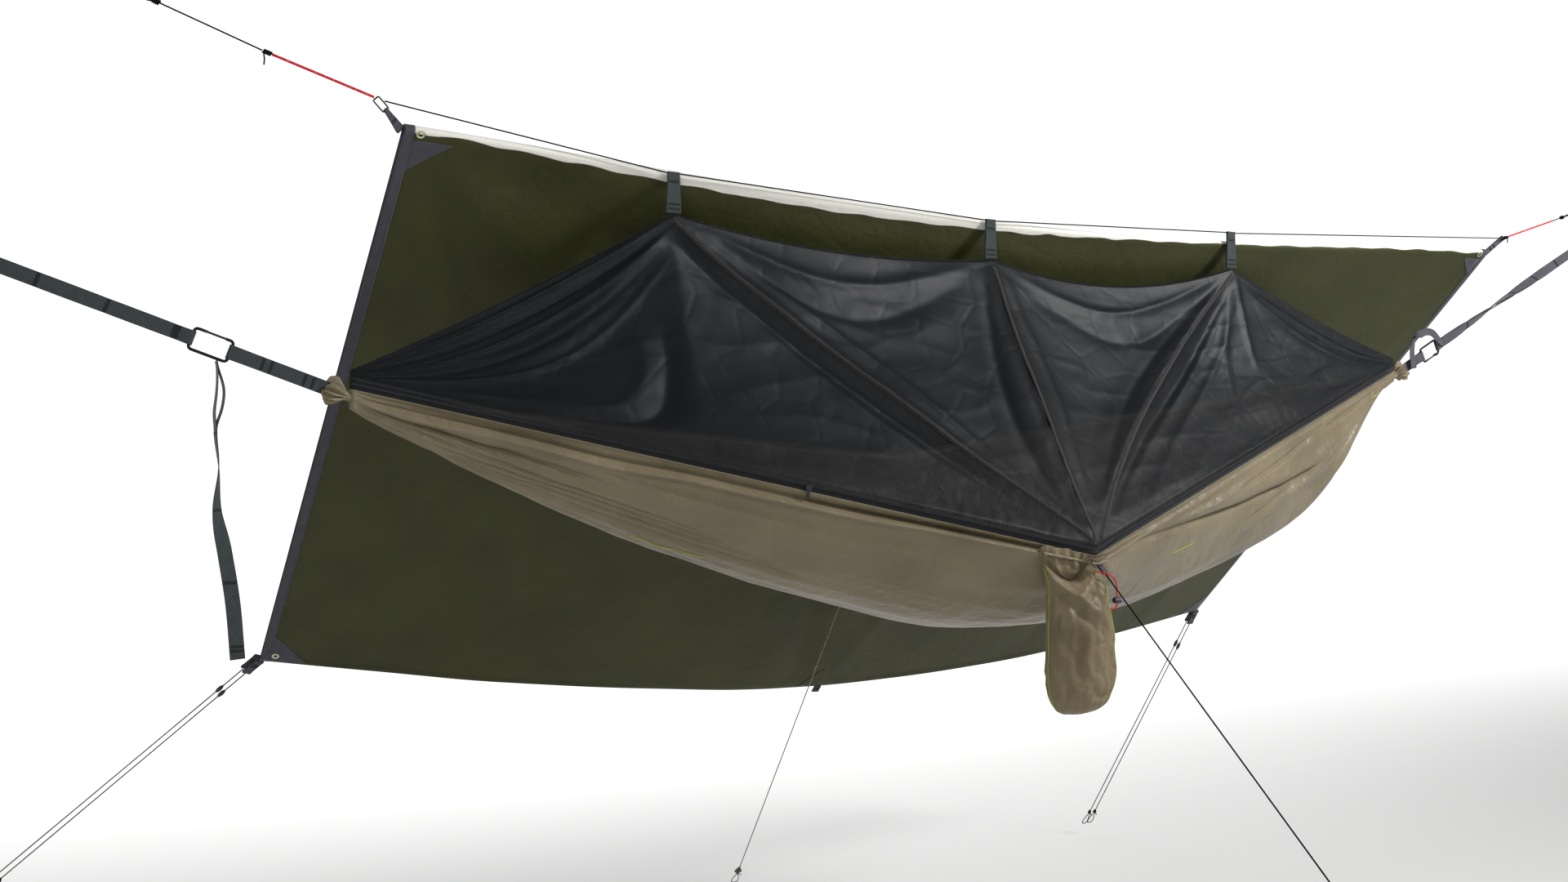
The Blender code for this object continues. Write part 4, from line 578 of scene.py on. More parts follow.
def shockCord(name, plan):
    # a doubled shock cord, its two strands side by side inside one width: a figure of eight in section
    start, end = np.array(plan["start"], dtype=float), np.array(plan["end"], dtype=float)
    path = np.array(straightRun(start, end, 24))
    strand = plan["size"] * 0.25
    sides = np.repeat(across[None], len(path), axis=0)
    lifts = np.repeat(np.cross(unit(end - start), across)[None], len(path), axis=0)
    outline = []
    for k in range(20):
        angle = 2 * math.pi * k / 20
        offset = strand * (1 if math.sin(angle) >= 0 else -1)
        outline.append((strand * 1.05 * math.cos(angle) * (0.45 + 0.55 * abs(math.sin(angle)) ** 0.5),
                        offset + strand * math.sin(angle)))
    piece = sweep(name, path, sides, lifts, outline, redShock)
    dress(piece, "root", plan["node"])


for cordName, plan in shockPlan.items():
    shockCord(cordName, plan)

knotPlan = {
    "leftRidgeKnot": {"centre": (0.49093, 0, 0.37333), "along": (-0.95783, 0, 0.28735),
                      "tail": [(0.002, 0.0, -0.004), (0.003, -0.001, -0.014), (0.002, -0.002, -0.024)]},
    "rightRidgeKnot": {"centre": (3.83121, 0, 0.31555), "along": (0.95489, 0, 0.29697),
                       "tail": [(-0.004, -0.002, -0.004), (-0.008, -0.004, -0.010), (-0.010, -0.005, -0.018)]},
}
for knotName, plan in knotPlan.items():
    knot = woundKnot(knotName, plan["centre"], plan["along"], 0.0020, 0.0030, 5, blackCord, plan["tail"])
    dress(knot, "root", nodeName(knotName))

drawcord = {
    "size": 0.0028, "step": 0.0015,
    "run": ((1.97142, -0.43475, -0.5518), (1.97542, -0.44075, -0.5518), (1.98242, -0.44675, -0.5538),
            (1.99542, -0.44975, -0.5578), (2.00842, -0.44775, -0.5658), (2.01642, -0.44375, -0.5758),
            (2.01942, -0.44175, -0.5878), (2.01942, -0.44175, -0.6018)),
    "end": ((2.01942, -0.44175, -0.6148), (2.01842, -0.44175, -0.6198), (2.01342, -0.44175, -0.6238),
            (2.00742, -0.44175, -0.6228), (2.00242, -0.44175, -0.6248)),
}
for cordName, route, node in (("drawcordRun", "run", "drawcord"), ("drawcordEnd", "end", "drawcord_tail")):
    path = resample(drawcord[route], drawcord["step"])
    piece = cordPiece(cordName, path, drawcord["size"], redShock)
    dress(piece, "sack_body", node)
print("cords made")


# Lines of points that a node tree lays small pieces along

def rowTree(title, values, addShape):
    # Line goes in first, then each value; addShape gives the nodes that make one shape, and how it is scaled
    tree = bpy.data.node_groups.new(title, "GeometryNodeTree")
    tree.interface.new_socket("Line", in_out="INPUT", socket_type="NodeSocketGeometry")
    for name, value in values.items():
        tree.interface.new_socket(name, in_out="INPUT", socket_type="NodeSocketFloat").default_value = value
    tree.interface.new_socket("Row", in_out="OUTPUT", socket_type="NodeSocketGeometry")
    given = addNode(tree, "NodeGroupInput")
    curve = addNode(tree, "GeometryNodeMeshToCurve", None, {"Mesh": given.outputs["Line"]})
    points = addNode(tree, "GeometryNodeCurveToPoints", {"mode": "LENGTH"},
                     {"Curve": curve.outputs["Curve"], "Length": given.outputs["Pitch"]})
    shape, scale, smooth = addShape(tree, given)
    laid = addNode(tree, "GeometryNodeInstanceOnPoints", None,
                   {"Points": points.outputs["Points"], "Instance": shape, "Rotation": points.outputs["Rotation"],
                    **scale})
    real = addNode(tree, "GeometryNodeRealizeInstances", None, {"Geometry": laid.outputs["Instances"]})
    if smooth:
        real = addNode(tree, "GeometryNodeSetShadeSmooth", None, {"Geometry": real.outputs["Geometry"]})
    return tree, real.outputs["Geometry"]


def addStitch(tree, given):
    # a short thread, as thick as Thread and as long as Length
    thread = addNode(tree, "GeometryNodeMeshUVSphere", {"Segments": 6, "Rings": 4, "Radius": 0.5})
    size = addNode(tree, "ShaderNodeCombineXYZ", None, {"X": given.outputs["Thread"], "Y": given.outputs["Thread"],
                                                        "Z": given.outputs["Length"]})
    return thread.outputs["Mesh"], {"Scale": size.outputs["Vector"]}, True


def rowPiece(name, lines, title, values, addShape, finish):
    # lines of points on the cloth's surface become rows of shapes, as one plain mesh
    points, edges = [], []
    for line in lines:
        start = len(points)
        points += [tuple(p) for p in line]
        edges += [(start + k, start + k + 1) for k in range(len(line) - 1)]
    mesh = bpy.data.meshes.new(name + "Lines")
    mesh.from_pydata(points, edges, [])
    source = newObject(name + "Lines", mesh)
    tree, row = rowTree(title, values, addShape)
    coloured = addNode(tree, "GeometryNodeSetMaterial", {"Material": finish}, {"Geometry": row})
    addNode(tree, "NodeGroupOutput", None, {"Row": coloured.outputs["Geometry"]})
    modifier = source.modifiers.new(title, "NODES")
    modifier.node_group = tree
    for item in tree.interface.items_tree:
        if item.in_out == "INPUT" and item.name in values:
            modifier[item.identifier] = values[item.name]
    made = bpy.data.meshes.new_from_object(source.evaluated_get(bpy.context.evaluated_depsgraph_get()))
    made.name = name
    source.modifiers.remove(modifier)
    bpy.data.objects.remove(source)
    return newObject(name, made)


# from one stitch to the next, how thick its thread is and how long it is, in metres
threads = {"tack": (0.0011, 0.0008, 0.0017), "strap": (0.0012, 0.0009, 0.0019), "hem": (0.0042, 0.00055, 0.0032),
           "seam": (0.0032, 0.00045, 0.0024), "zip": (0.0034, 0.0005, 0.0026), "tarp": (0.0042, 0.0006, 0.0032)}


def stitchPiece(name, lines, kind, finish):
    values = dict(zip(("Pitch", "Thread", "Length"), threads[kind]))
    return rowPiece(name, lines, "stitchRow", values, addStitch, finish)


# Webbing

def webbingBand(name, path, sides, width, thickness, finish, closed=False):
    # flat webbing: sides are the directions of its width
    path, sides = np.asarray(path, dtype=float), np.asarray(sides, dtype=float)
    if closed:
        along = unit(np.roll(path, -1, axis=0) - np.roll(path, 1, axis=0))
    else:
        along = unit(np.gradient(path, axis=0))
    sides = unit(sides - along * (sides * along).sum(axis=1, keepdims=True))
    lifts = np.cross(sides, along)
    widths = np.broadcast_to(width, (len(path),))
    outline = np.array([tapeOutline(w, thickness) for w in widths])
    return sweep(name, path, sides, lifts, outline, finish, closed=closed, sharp=50)


def loopPath(start, finish, normal, startRadius, finishRadius, waist, turns=12):
    along, run = unit(finish - start), finish - start
    path = []
    for k in range(turns + 1):
        angle = math.pi * (0.5 + k / turns)
        path.append(start + (along * math.cos(angle) + normal * math.sin(angle)) * startRadius)
    for share in (0.2, 0.35, 0.5, 0.65, 0.8):
        path.append(start + run * share - normal * waist)
    for k in range(turns + 1):
        angle = math.pi * (-0.5 + k / turns)
        path.append(finish + (along * math.cos(angle) + normal * math.sin(angle)) * finishRadius)
    for share in (0.8, 0.65, 0.5, 0.35, 0.2):
        path.append(start + run * share + normal * waist)
    return np.array(path)


webbing = {"thickness": 0.0018, "surface": 0.45}
# usual values of the slings, the net's tabs and the loops of binding
slingUsual = {"normal": (0, 1, 0), "radii": (0.0015, 0.004), "width": (0.025, 0.025), "waist": 0.0015}
tabUsual = {"normal": (0, 1, 0), "radii": (0.0015, 0.0025), "width": (0.0325, 0.025), "waist": 0.0015,
            "finish": slateWebbing, "slot": "slate_webbing", "tacks": (0.08, 0.2, 0.78)}
bindingUsual = {"waist": 0.0022, "finish": greyBinding, "slot": "grey_binding"}
cornerUsual = {**bindingUsual, "radii": (0.003, 0.003), "width": (0.020, 0.020), "waist": 0.0018, "tacks": (0.3, 0.45)}
loopPlan = {
    # middle of the bar or edge at each end, the way across the loop, its radius there, and where it is tacked
    "leftEndSling": {**slingUsual, "ends": ((0.61218, 0, -0.21722), (0.43528, 0, -0.15446)),
                     "finish": slateWebbing, "slot": "slate_webbing", "tacks": (0.22, 0.3, 0.62, 0.7)},
    "rightEndSling": {**slingUsual, "ends": ((3.3834, 0, -0.08125), (3.47592, 0, -0.03441)),
                      "finish": greyWebbing, "slot": "grey_webbing", "tacks": (0.35, 0.55)},
    "netTab1": {**tabUsual, "ends": ((1.267, 0, 0.1613), (1.267, 0, 0.239))},
    "netTab2": {**tabUsual, "ends": ((2.044, 0, 0.1273), (2.044, 0, 0.211))},
    "netTab3": {**tabUsual, "ends": ((2.777, 0, 0.1573), (2.777, 0, 0.243))},
    "nearPullOutLoop": {**bindingUsual, "ends": ((1.998, -0.40834, -0.5345), (1.998, -0.43079, -0.55439)),
                        "normal": (0, -0.66315, 0.74848), "radii": (0.0028, 0.0028), "width": (0.010, 0.010),
                        "waist": 0.0018, "body": "bed_body", "tacks": (0.4,)},
    "leftRidgeLoop": {**bindingUsual, "ends": ((0.69751, 0, 0.29676), (0.72698, 0.018, 0.27)),
                      "normal": (0.28746, -0.91088, -0.29609), "radii": (0.0028, 0.0035), "width": (0.008, 0.017),
                      "tacks": (0.55,)},
    "rightRidgeLoop": {**bindingUsual, "ends": ((3.768, 0.018, 0.27), (3.83121, 0.0099, 0.31555)),
                       "normal": (-0.1271, -0.99189, 0.0), "radii": (0.0035, 0.0035), "width": (0.013, 0.013),
                       "tacks": (0.25, 0.45)},
    "leftCornerLoopInner": {**cornerUsual, "ends": ((0.65004, 1.04858, -0.80649), (0.62582, 1.08453, -0.83521)),
                            "normal": (0, -0.62433, -0.78116)},
    "leftCornerLoopOuter": {**cornerUsual, "ends": ((0.64911, 1.05839, -0.79516), (0.62403, 1.09364, -0.82401)),
                            "normal": (0, -0.63333, -0.77388)},
    "rightCornerLoopInner": {**cornerUsual, "ends": ((3.6601, 1.04827, -0.80784), (3.66124, 1.07823, -0.85033)),
                             "normal": (0, -0.81725, -0.57629)},
    "rightCornerLoopOuter": {**cornerUsual, "ends": ((3.65998, 1.05845, -0.79785), (3.65981, 1.08789, -0.84072)),
                             "normal": (0, -0.82431, -0.56613)},
    "midLoop": {**cornerUsual, "ends": ((2.14084, 0.95825, -0.95197), (2.13972, 0.97029, -0.9653)),
                "normal": (0, -0.74208, -0.67031), "radii": (0.0025, 0.0025), "finish": slateWebbing,
                "tacks": (0.4,)},
}


def tackLines(centre, widthWay, lengthWay, outWay, width, rows=4, pitch=0.0014):
    # a bartack: rows of thread side by side across the webbing
    lines = []
    for k in range(rows):
        middle = centre + lengthWay * pitch * (k - (rows - 1) / 2) + outWay * 0.0002
        lines.append([middle - widthWay * width / 2, middle + widthWay * width / 2])
    return lines


def webbingLoop(name, plan):
    start, finish = (np.array(end, dtype=float) for end in plan["ends"])
    normal = unit(plan["normal"])
    path = loopPath(start, finish, normal, *plan["radii"], plan["waist"])
    along = unit(finish - start)
    side = unit(np.cross(along, normal))
    run = float(np.linalg.norm(finish - start))
    share = np.clip((path - start) @ along / run, 0, 1)
    widths = plan["width"][0] + (plan["width"][1] - plan["width"][0]) * share
    body = plan.get("body", "root")
    piece = webbingBand(name, path, np.repeat(side[None], len(path), axis=0), widths, webbing["thickness"],
                        plan["finish"], True)
    dress(piece, body, nodeName(name))
    lines = []
    for place in plan["tacks"]:
        for way in (-1, 1):
            lift = plan["waist"] + webbing["thickness"] * webbing["surface"]
            middle = start + along * run * place + normal * way * lift
            width = plan["width"][0] + (plan["width"][1] - plan["width"][0]) * place
            lines += tackLines(middle, side, along, normal * way, width * 0.8)
    dress(stitchPiece(name + "Tacks", lines, "tack", blackThread), body)


for loopName, plan in loopPlan.items():
    webbingLoop(loopName, plan)

strapPlan = {
    # the carabiner's rod, the far end of the sewn eye, the turn between them
    "leftTreeStrap": {"rod": (0.37271, 0, -0.13225), "eye": (-0.03534, 0, 0.01254), "twist": 0.0,
                      "finish": slateWebbing, "slot": "slate_webbing"},
    "rightTreeStrap": {"rod": (3.53517, 0, -0.00442), "eye": (4.20946, 0, 0.33694), "twist": math.pi,
                       "finish": greyWebbing, "slot": "grey_webbing"},
}
# lengths along the strap and half openings between its two layers; a bulge and an eye as shares of their own
strap = {"width": 0.025, "rodRadius": 0.0040, "leaves": 0.0039, "close": 0.0012, "closing": 0.020,
         "daisyStart": 0.030, "daisyPitch": 0.110, "daisyBulge": 0.0016, "eyeLength": 0.075, "eyeSeam": 0.012,
         "eyeHalf": 0.017, "eyeCrown": 0.004,
         "daisyShape": ((0.0, 0.0), (0.15, 0.7), (0.3, 1.0), (0.5, 1.0), (0.7, 1.0), (0.85, 0.7)),
         "eyeShape": ((0.08, 0.15), (0.16, 0.35), (0.25, 0.58), (0.34, 0.78), (0.45, 0.91), (0.55, 0.98), (0.8, 1.0))}


def strapOpenings(run):
    # the pairs of place and half opening along the strap, and where it is tacked
    close, pitch = strap["close"], strap["daisyPitch"]
    pairs = [(strap["leaves"], strap["rodRadius"]), (strap["closing"], close)]
    finish = run - strap["eyeLength"] - strap["closing"]
    place, tacks = strap["daisyStart"], []
    while place + pitch < finish:
        tacks.append(place)
        pairs += [(place + pitch * share, close + strap["daisyBulge"] * opening)
                  for share, opening in strap["daisyShape"]]
        place += pitch
    tacks += [place, finish + strap["eyeSeam"] * 0.5, strap["closing"] + 0.004]
    pairs += [(place, close), (finish, close), (finish + strap["eyeSeam"], close)]
    pairs += [(finish + strap["eyeSeam"] + strap["eyeLength"] * share, close + (strap["eyeHalf"] - close) * opening)
              for share, opening in strap["eyeShape"]]
    return sorted(pairs), tacks


def treeStrap(name, plan):
    rod, eye = np.array(plan["rod"], dtype=float), np.array(plan["eye"], dtype=float)
    run = float(np.linalg.norm(eye - rod))
    along = unit(eye - rod)
    upright = unit(np.cross(along, across))
    pairs, tacks = strapOpenings(run)

    def turned(distance):
        # the ways through and across the strap, turned about its own line
        share = np.clip((distance - 2 * strap["closing"]) / (run - 2 * strap["eyeLength"]), 0, 1)
        c, s = math.cos(plan["twist"] * share), math.sin(plan["twist"] * share)
        return across * c + np.cross(along, across) * s, upright * c + np.cross(along, upright) * s

    path, sides = [], []
    normal, side = turned(0.0)
    for k in range(13):
        angle = math.pi * (0.5 + k / 12)
        path.append(rod + (along * math.cos(angle) + normal * math.sin(angle)) * strap["rodRadius"])
        sides.append(side)
    for sign, order in ((-1, pairs), (1, pairs[::-1])):
        for distance, half in order:
            normal, side = turned(distance)
            path.append(rod + along * distance + normal * half * sign)
            sides.append(side)
        if sign < 0:
            normal, side = turned(run)
            for spread in (-0.72, -0.2, 0.2, 0.72):
                reach = run if abs(spread) > 0.5 else run + strap["eyeCrown"]
                path.append(rod + along * reach + normal * strap["eyeHalf"] * spread)
                sides.append(side)
    piece = webbingBand(name, path, sides, strap["width"], webbing["thickness"], plan["finish"], True)
    dress(piece, "root", nodeName(name))
    lines = []
    for place in tacks:
        normal, side = turned(place)
        for way in (-1, 1):
            lift = strap["close"] + webbing["thickness"] * webbing["surface"]
            middle = rod + along * place + normal * way * lift
            lines += tackLines(middle, side, along, normal * way, strap["width"] * 0.86, rows=5)
    dress(stitchPiece(name + "Tacks", lines, "strap", blackThread), "root")


for strapName, plan in strapPlan.items():
    treeStrap(strapName, plan)

# by share of the way down: how far it sways, how much it is turned edge on, and how far its layers part
leftTail = {"top": (0.413, 0.0, -0.170068), "length": 0.512, "width": 0.025, "layer": 0.0009, "steps": 70,
            "sway": ((0.0, 0.0), (0.10, 0.007), (0.23, 0.0), (0.36, 0.006), (0.50, 0.004), (0.64, 0.017),
                     (0.81, 0.031), (1.0, 0.040)),
            "turn": ((0.0, 1.0), (0.3, 1.0), (0.5, 0.55), (0.62, 0.12), (1.0, 0.0)),
            "split": ((0.0, 0.0), (0.02, 0.0), (0.09, 0.0050), (0.13, 0.0058), (0.17, 0.0050), (0.23, 0.0), (1.0, 0.0)),
            "tacks": (0.245, 0.5, 0.74, 0.955, 0.975)}


def hangingTail():
    # doubled webbing, sewn shut but for a little eyelet near its top
    steps = leftTail["steps"]
    shares = np.linspace(0, 1, steps + 1)
    sway = np.array([readTable(leftTail["sway"], s) for s in shares])
    turn = np.array([readTable(leftTail["turn"], s) for s in shares]) * math.pi / 2
    part = np.array([max(readTable(leftTail["split"], s), 0.0) for s in shares])
    flat = np.zeros_like(shares)
    path = np.array(leftTail["top"]) + np.stack([sway, flat, -leftTail["length"] * shares], axis=1)
    sides = np.stack([np.cos(turn), np.sin(turn), flat], axis=1)
    normals = np.stack([np.sin(turn), -np.cos(turn), flat], axis=1)
    layers = []
    for k, way in enumerate((-1, 1)):
        line = path + normals * way * (part + 0.0005)[:, None]
        layers.append(webbingBand("leftTailLayer" + str(k), line, sides, leftTail["width"], leftTail["layer"],
                                  slateWebbing))
    dress(joinPieces("leftStrapTail", layers), "left_tail_body", "left_strap_tail")
    lines = []
    for share in leftTail["tacks"]:
        k = int(round(share * steps))
        for way in (-1, 1):
            middle = path[k] + normals[k] * way * 0.00095
            lines += tackLines(middle, sides[k], up, normals[k] * way, leftTail["width"] * 0.84)
    dress(stitchPiece("leftTailTacks", lines, "strap", blackThread), "left_tail_body")


hangingTail()

rightTail = {"rod": (3.53517, 0.0, -0.00442), "outward": (0.89219, 0.0, 0.45167), "seat": (0.036, 0.022), "off": 0.0036,
             "route": ((0.0, 0.014, 0.0084), (-0.030, 0.034, 0.009), (-0.066, 0.032, 0.009), (-0.098, 0.010, 0.009),
                       (-0.110, -0.022, 0.009), (-0.104, -0.066, 0.009)),
             "sides": ((-0.45, 0, 0.89), (-0.45, 0, 0.89), (-0.3, 0.0, 1.0), (0.1, 0.0, 1.0), (0.4, 0.2, 1.0),
                       (1.0, 0.3, 0.6), (1.0, 0.2, 0.1), (1.0, 0.1, 0.0)),
             "widths": (0.020, 0.020, 0.020, 0.020, 0.020, 0.02125, 0.02375, 0.025)}


def shortTail():
    # the spare end lies on the strap's face, then curls over beside the carabiner
    rod, outward = np.array(rightTail["rod"]), np.array(rightTail["outward"])
    path = [rod + outward * distance - across * rightTail["off"] for distance in rightTail["seat"]]
    path += [rod + np.array((x, -out, z)) for x, z, out in rightTail["route"]]
    fine = resample(path, 0.004)
    places = placesAlong(path)
    at = np.linspace(0, places[-1], len(fine))
    sides = unit(np.stack([np.interp(at, places, [s[k] for s in rightTail["sides"]]) for k in range(3)], axis=1))
    widths = np.interp(at, places, rightTail["widths"])
    piece = webbingBand("rightStrapTail", fine, sides, widths, webbing["thickness"], greyWebbing)
    dress(piece, "root", "right_strap_tail")


shortTail()
print("webbing made")


# The hammock's own lines

hammock = {"left": 0.62, "leftHeight": -0.22, "span": 2.756, "rise": 0.135, "middle": 1.998, "start": 0.6379,
           "finish": 3.3585, "spread": 0.0072, "nearReach": 0.406, "nearDrop": 0.370, "farReach": 0.320,
           "farDrop": 0.156, "farBow": 1.8, "lowLine": -0.060, "cloth": 0.0016,
           "clothWidth": 1.35, "clothLength": 2.90}
bedSag = ((0.0, 0.014), (0.02, 0.054), (0.05, 0.096), (0.15, 0.236), (0.27, 0.374), (0.36, 0.458), (0.44, 0.520),
          (0.52, 0.536), (0.60, 0.530), (0.70, 0.482), (0.80, 0.408), (0.85, 0.354), (0.90, 0.256), (0.94, 0.134),
          (0.97, 0.056), (1.0, 0.014))

# how far below the near rim its rolled hem hangs, by place along the bed
hemRoll = ((0.66, 0.024), (0.80, 0.028), (0.95, 0.031), (1.08, 0.037), (1.22, 0.029), (1.50, 0.030), (1.70, 0.023),
           (1.90, 0.018), (2.00, 0.016), (2.30, 0.020), (3.35, 0.014))
# creases of the near wall: places along the bed and down from the rim, half width and height
bedCreases = (
    # the left run's long dark fold, and the fine pleats beside it that fan out of the gather
    (((0.66, 0.032), (0.80, 0.048), (0.93, 0.056), (1.10, 0.070)), 0.0067, -0.019575),
    (((0.66, 0.042), (0.80, 0.062), (1.00, 0.094), (1.30, 0.138)), 0.0054, -0.011475),
    (((0.66, 0.048), (0.80, 0.074), (1.00, 0.108), (1.36, 0.158)), 0.0045, -0.011475),
    (((0.66, 0.053), (0.80, 0.086), (1.00, 0.122), (1.44, 0.180)), 0.0045, -0.011475),
    (((0.67, 0.058), (0.80, 0.097), (1.02, 0.140), (1.50, 0.205)), 0.0045, -0.011475),
    (((0.68, 0.050), (0.86, 0.073), (1.16, 0.096), (1.55, 0.120)), 0.0160, 0.008775),
    # the right run's long fold from the gather, with the belly over it
    (((3.30, 0.020), (3.25, 0.040), (3.16, 0.077), (3.08, 0.105), (2.99, 0.118), (2.88, 0.120), (2.60, 0.098),
      (2.40, 0.068), (2.12, 0.022)), 0.0077, -0.02295),
    (((3.28, 0.012), (3.16, 0.046), (3.02, 0.080), (2.86, 0.088), (2.60, 0.070), (2.40, 0.044)), 0.0230, 0.016605),
    (((2.98, 0.128), (2.75, 0.152), (2.50, 0.176)), 0.0200, 0.013095),
    (((3.02, 0.108), (2.80, 0.132), (2.60, 0.150)), 0.0090, -0.011475),
    (((3.31, 0.026), (3.24, 0.062), (3.15, 0.112), (3.05, 0.160)), 0.0059, -0.017145),
    (((3.32, 0.034), (3.26, 0.090), (3.18, 0.150), (3.08, 0.205)), 0.0063, -0.016065),
    (((3.30, 0.010), (3.15, 0.026), (2.95, 0.040)), 0.0054, -0.01026),
    (((2.90, 0.035), (2.72, 0.050), (2.55, 0.050)), 0.0054, -0.01026),
    (((2.62, 0.040), (2.45, 0.046), (2.25, 0.030)), 0.0055, 0.00702),
    # the dark gap over the hem on its way to the pull-out
    (((1.42, 0.017), (1.60, 0.014), (1.80, 0.010), (1.96, 0.008)), 0.0038, -0.016065),
)


def endLine(x):
    return hammock["leftHeight"] + hammock["rise"] * (x - hammock["left"]) / hammock["span"]


def towardMiddle(x):
    return 1.0 - np.abs(x - hammock["middle"]) / (hammock["middle"] - hammock["start"])


def nearRim(x):
    share, spread = towardMiddle(x), hammock["spread"]
    y = -(spread + (hammock["nearReach"] - spread) * share)
    z = endLine(x) + spread - (hammock["nearDrop"] + spread) * share
    return np.stack([x, y, z], axis=-1)


def farRim(x):
    share, spread = towardMiddle(x), hammock["spread"]
    bow = 1.0 - np.clip(1.0 - share, 0, None) ** hammock["farBow"]
    y = spread + (hammock["farReach"] - spread) * bow
    z = endLine(x) + spread - (hammock["farDrop"] + spread) * share
    return np.stack([x, y, z], axis=-1)


def foldHeight(u, v, line, width, height, tail=0.5):
    # a crease along a line of points on the flat cloth, fading towards both its ends
    line = np.column_stack([np.asarray(line, dtype=float), np.zeros(len(line))])
    line = resample(line, pathLength(line) / 16)[:, :2]
    places = placesAlong(line)
    runs, places = np.diff(places), places / places[-1]
    nearest, share = np.full(u.shape, 1e9), np.zeros(u.shape)
    for k, run in enumerate(runs):
        way = (line[k + 1] - line[k]) / run
        along = np.clip((u - line[k, 0]) * way[0] + (v - line[k, 1]) * way[1], 0, run)
        away = np.hypot(u - line[k, 0] - way[0] * along, v - line[k, 1] - way[1] * along)
        better = away < nearest
        nearest = np.where(better, away, nearest)
        share = np.where(better, places[k] + along / run * (places[k + 1] - places[k]), share)
    return height * crease(nearest, width) * np.sin(math.pi * np.clip(share, 0.004, 0.996)) ** tail


# Bed

# pleats that fan out of each gather: how many, how far they reach, how deep they are and where they start
bedPleats = ((5, 1.25, 0.055, 0.3), (9, 0.75, 0.075, 0.55), (17, 0.42, 0.085, 0.1), (33, 0.16, 0.09, 0.8))


def bedShape(x2, across2):
    # the bed without its folds: a grid of points, the way out of each, and how far each is below the near rim
    near, far = nearRim(x2), farRim(x2)
    share = (x2 - hammock["left"]) / hammock["span"]
    lowZ = endLine(x2) - readTable(bedSag, share)
    lowY = hammock["lowLine"] * towardMiddle(x2)
    first = across2 <= 0.5
    angle = np.where(first, math.pi * across2, math.pi * (across2 - 0.5))
    y = np.where(first, lowY + (near[..., 1] - lowY) * np.cos(angle), lowY + (far[..., 1] - lowY) * np.sin(angle))
    z = np.where(first, near[..., 2] + (lowZ - near[..., 2]) * np.sin(angle),
                 lowZ + (far[..., 2] - lowZ) * (1 - np.cos(angle)))
    outY = np.where(first, -np.cos(angle), np.sin(angle))
    outZ = np.where(first, -np.sin(angle), -np.cos(angle))
    grid = np.stack([x2, y, z], axis=-1)
    girth = np.linalg.norm(np.diff(grid, axis=1), axis=2)
    below = np.concatenate([np.zeros((len(grid), 1)), np.cumsum(girth, axis=1)], axis=1)
    return grid, outY, outZ, below


def gatherFolds(x2, across2, total, fromLeft, fromRight):
    # the broad pleats that the solid has
    fromEnd = np.minimum(fromLeft, fromRight)
    room = np.minimum(fromEnd / 0.120, 1.0)
    height = (0.009 * room * np.exp(-fromEnd / 0.42) * np.sin(2 * math.pi * 3 * across2)
              * np.sin(math.pi * across2))
    # finer pleats that fan out of each gather and die away along the cloth
    warp = across2 + 0.010 * latticeNoise(x2 * 2.2, across2 * 5.0, 11)
    for count, reach, depth, phase in bedPleats:
        wander = 0.25 * latticeNoise(x2 * 1.3, across2 * count * 0.5, 20 + count)
        wave = 1 - 2 * np.abs(np.sin(math.pi * (count * warp + phase + wander))) ** 1.1
        uneven = across2 * count * 0.7
        left = np.exp(-fromLeft / reach) * (1.0 + 0.5 * latticeNoise(uneven, across2 * 0 + 3.3, 31))
        right = np.exp(-fromRight / (reach * 0.7)) * (1.0 + 0.5 * latticeNoise(uneven, across2 * 0 + 7.3, 32))
        height += np.minimum(total / count, 0.060) * depth * wave * (left + right) * np.minimum(fromEnd / 0.03, 1)
    return height


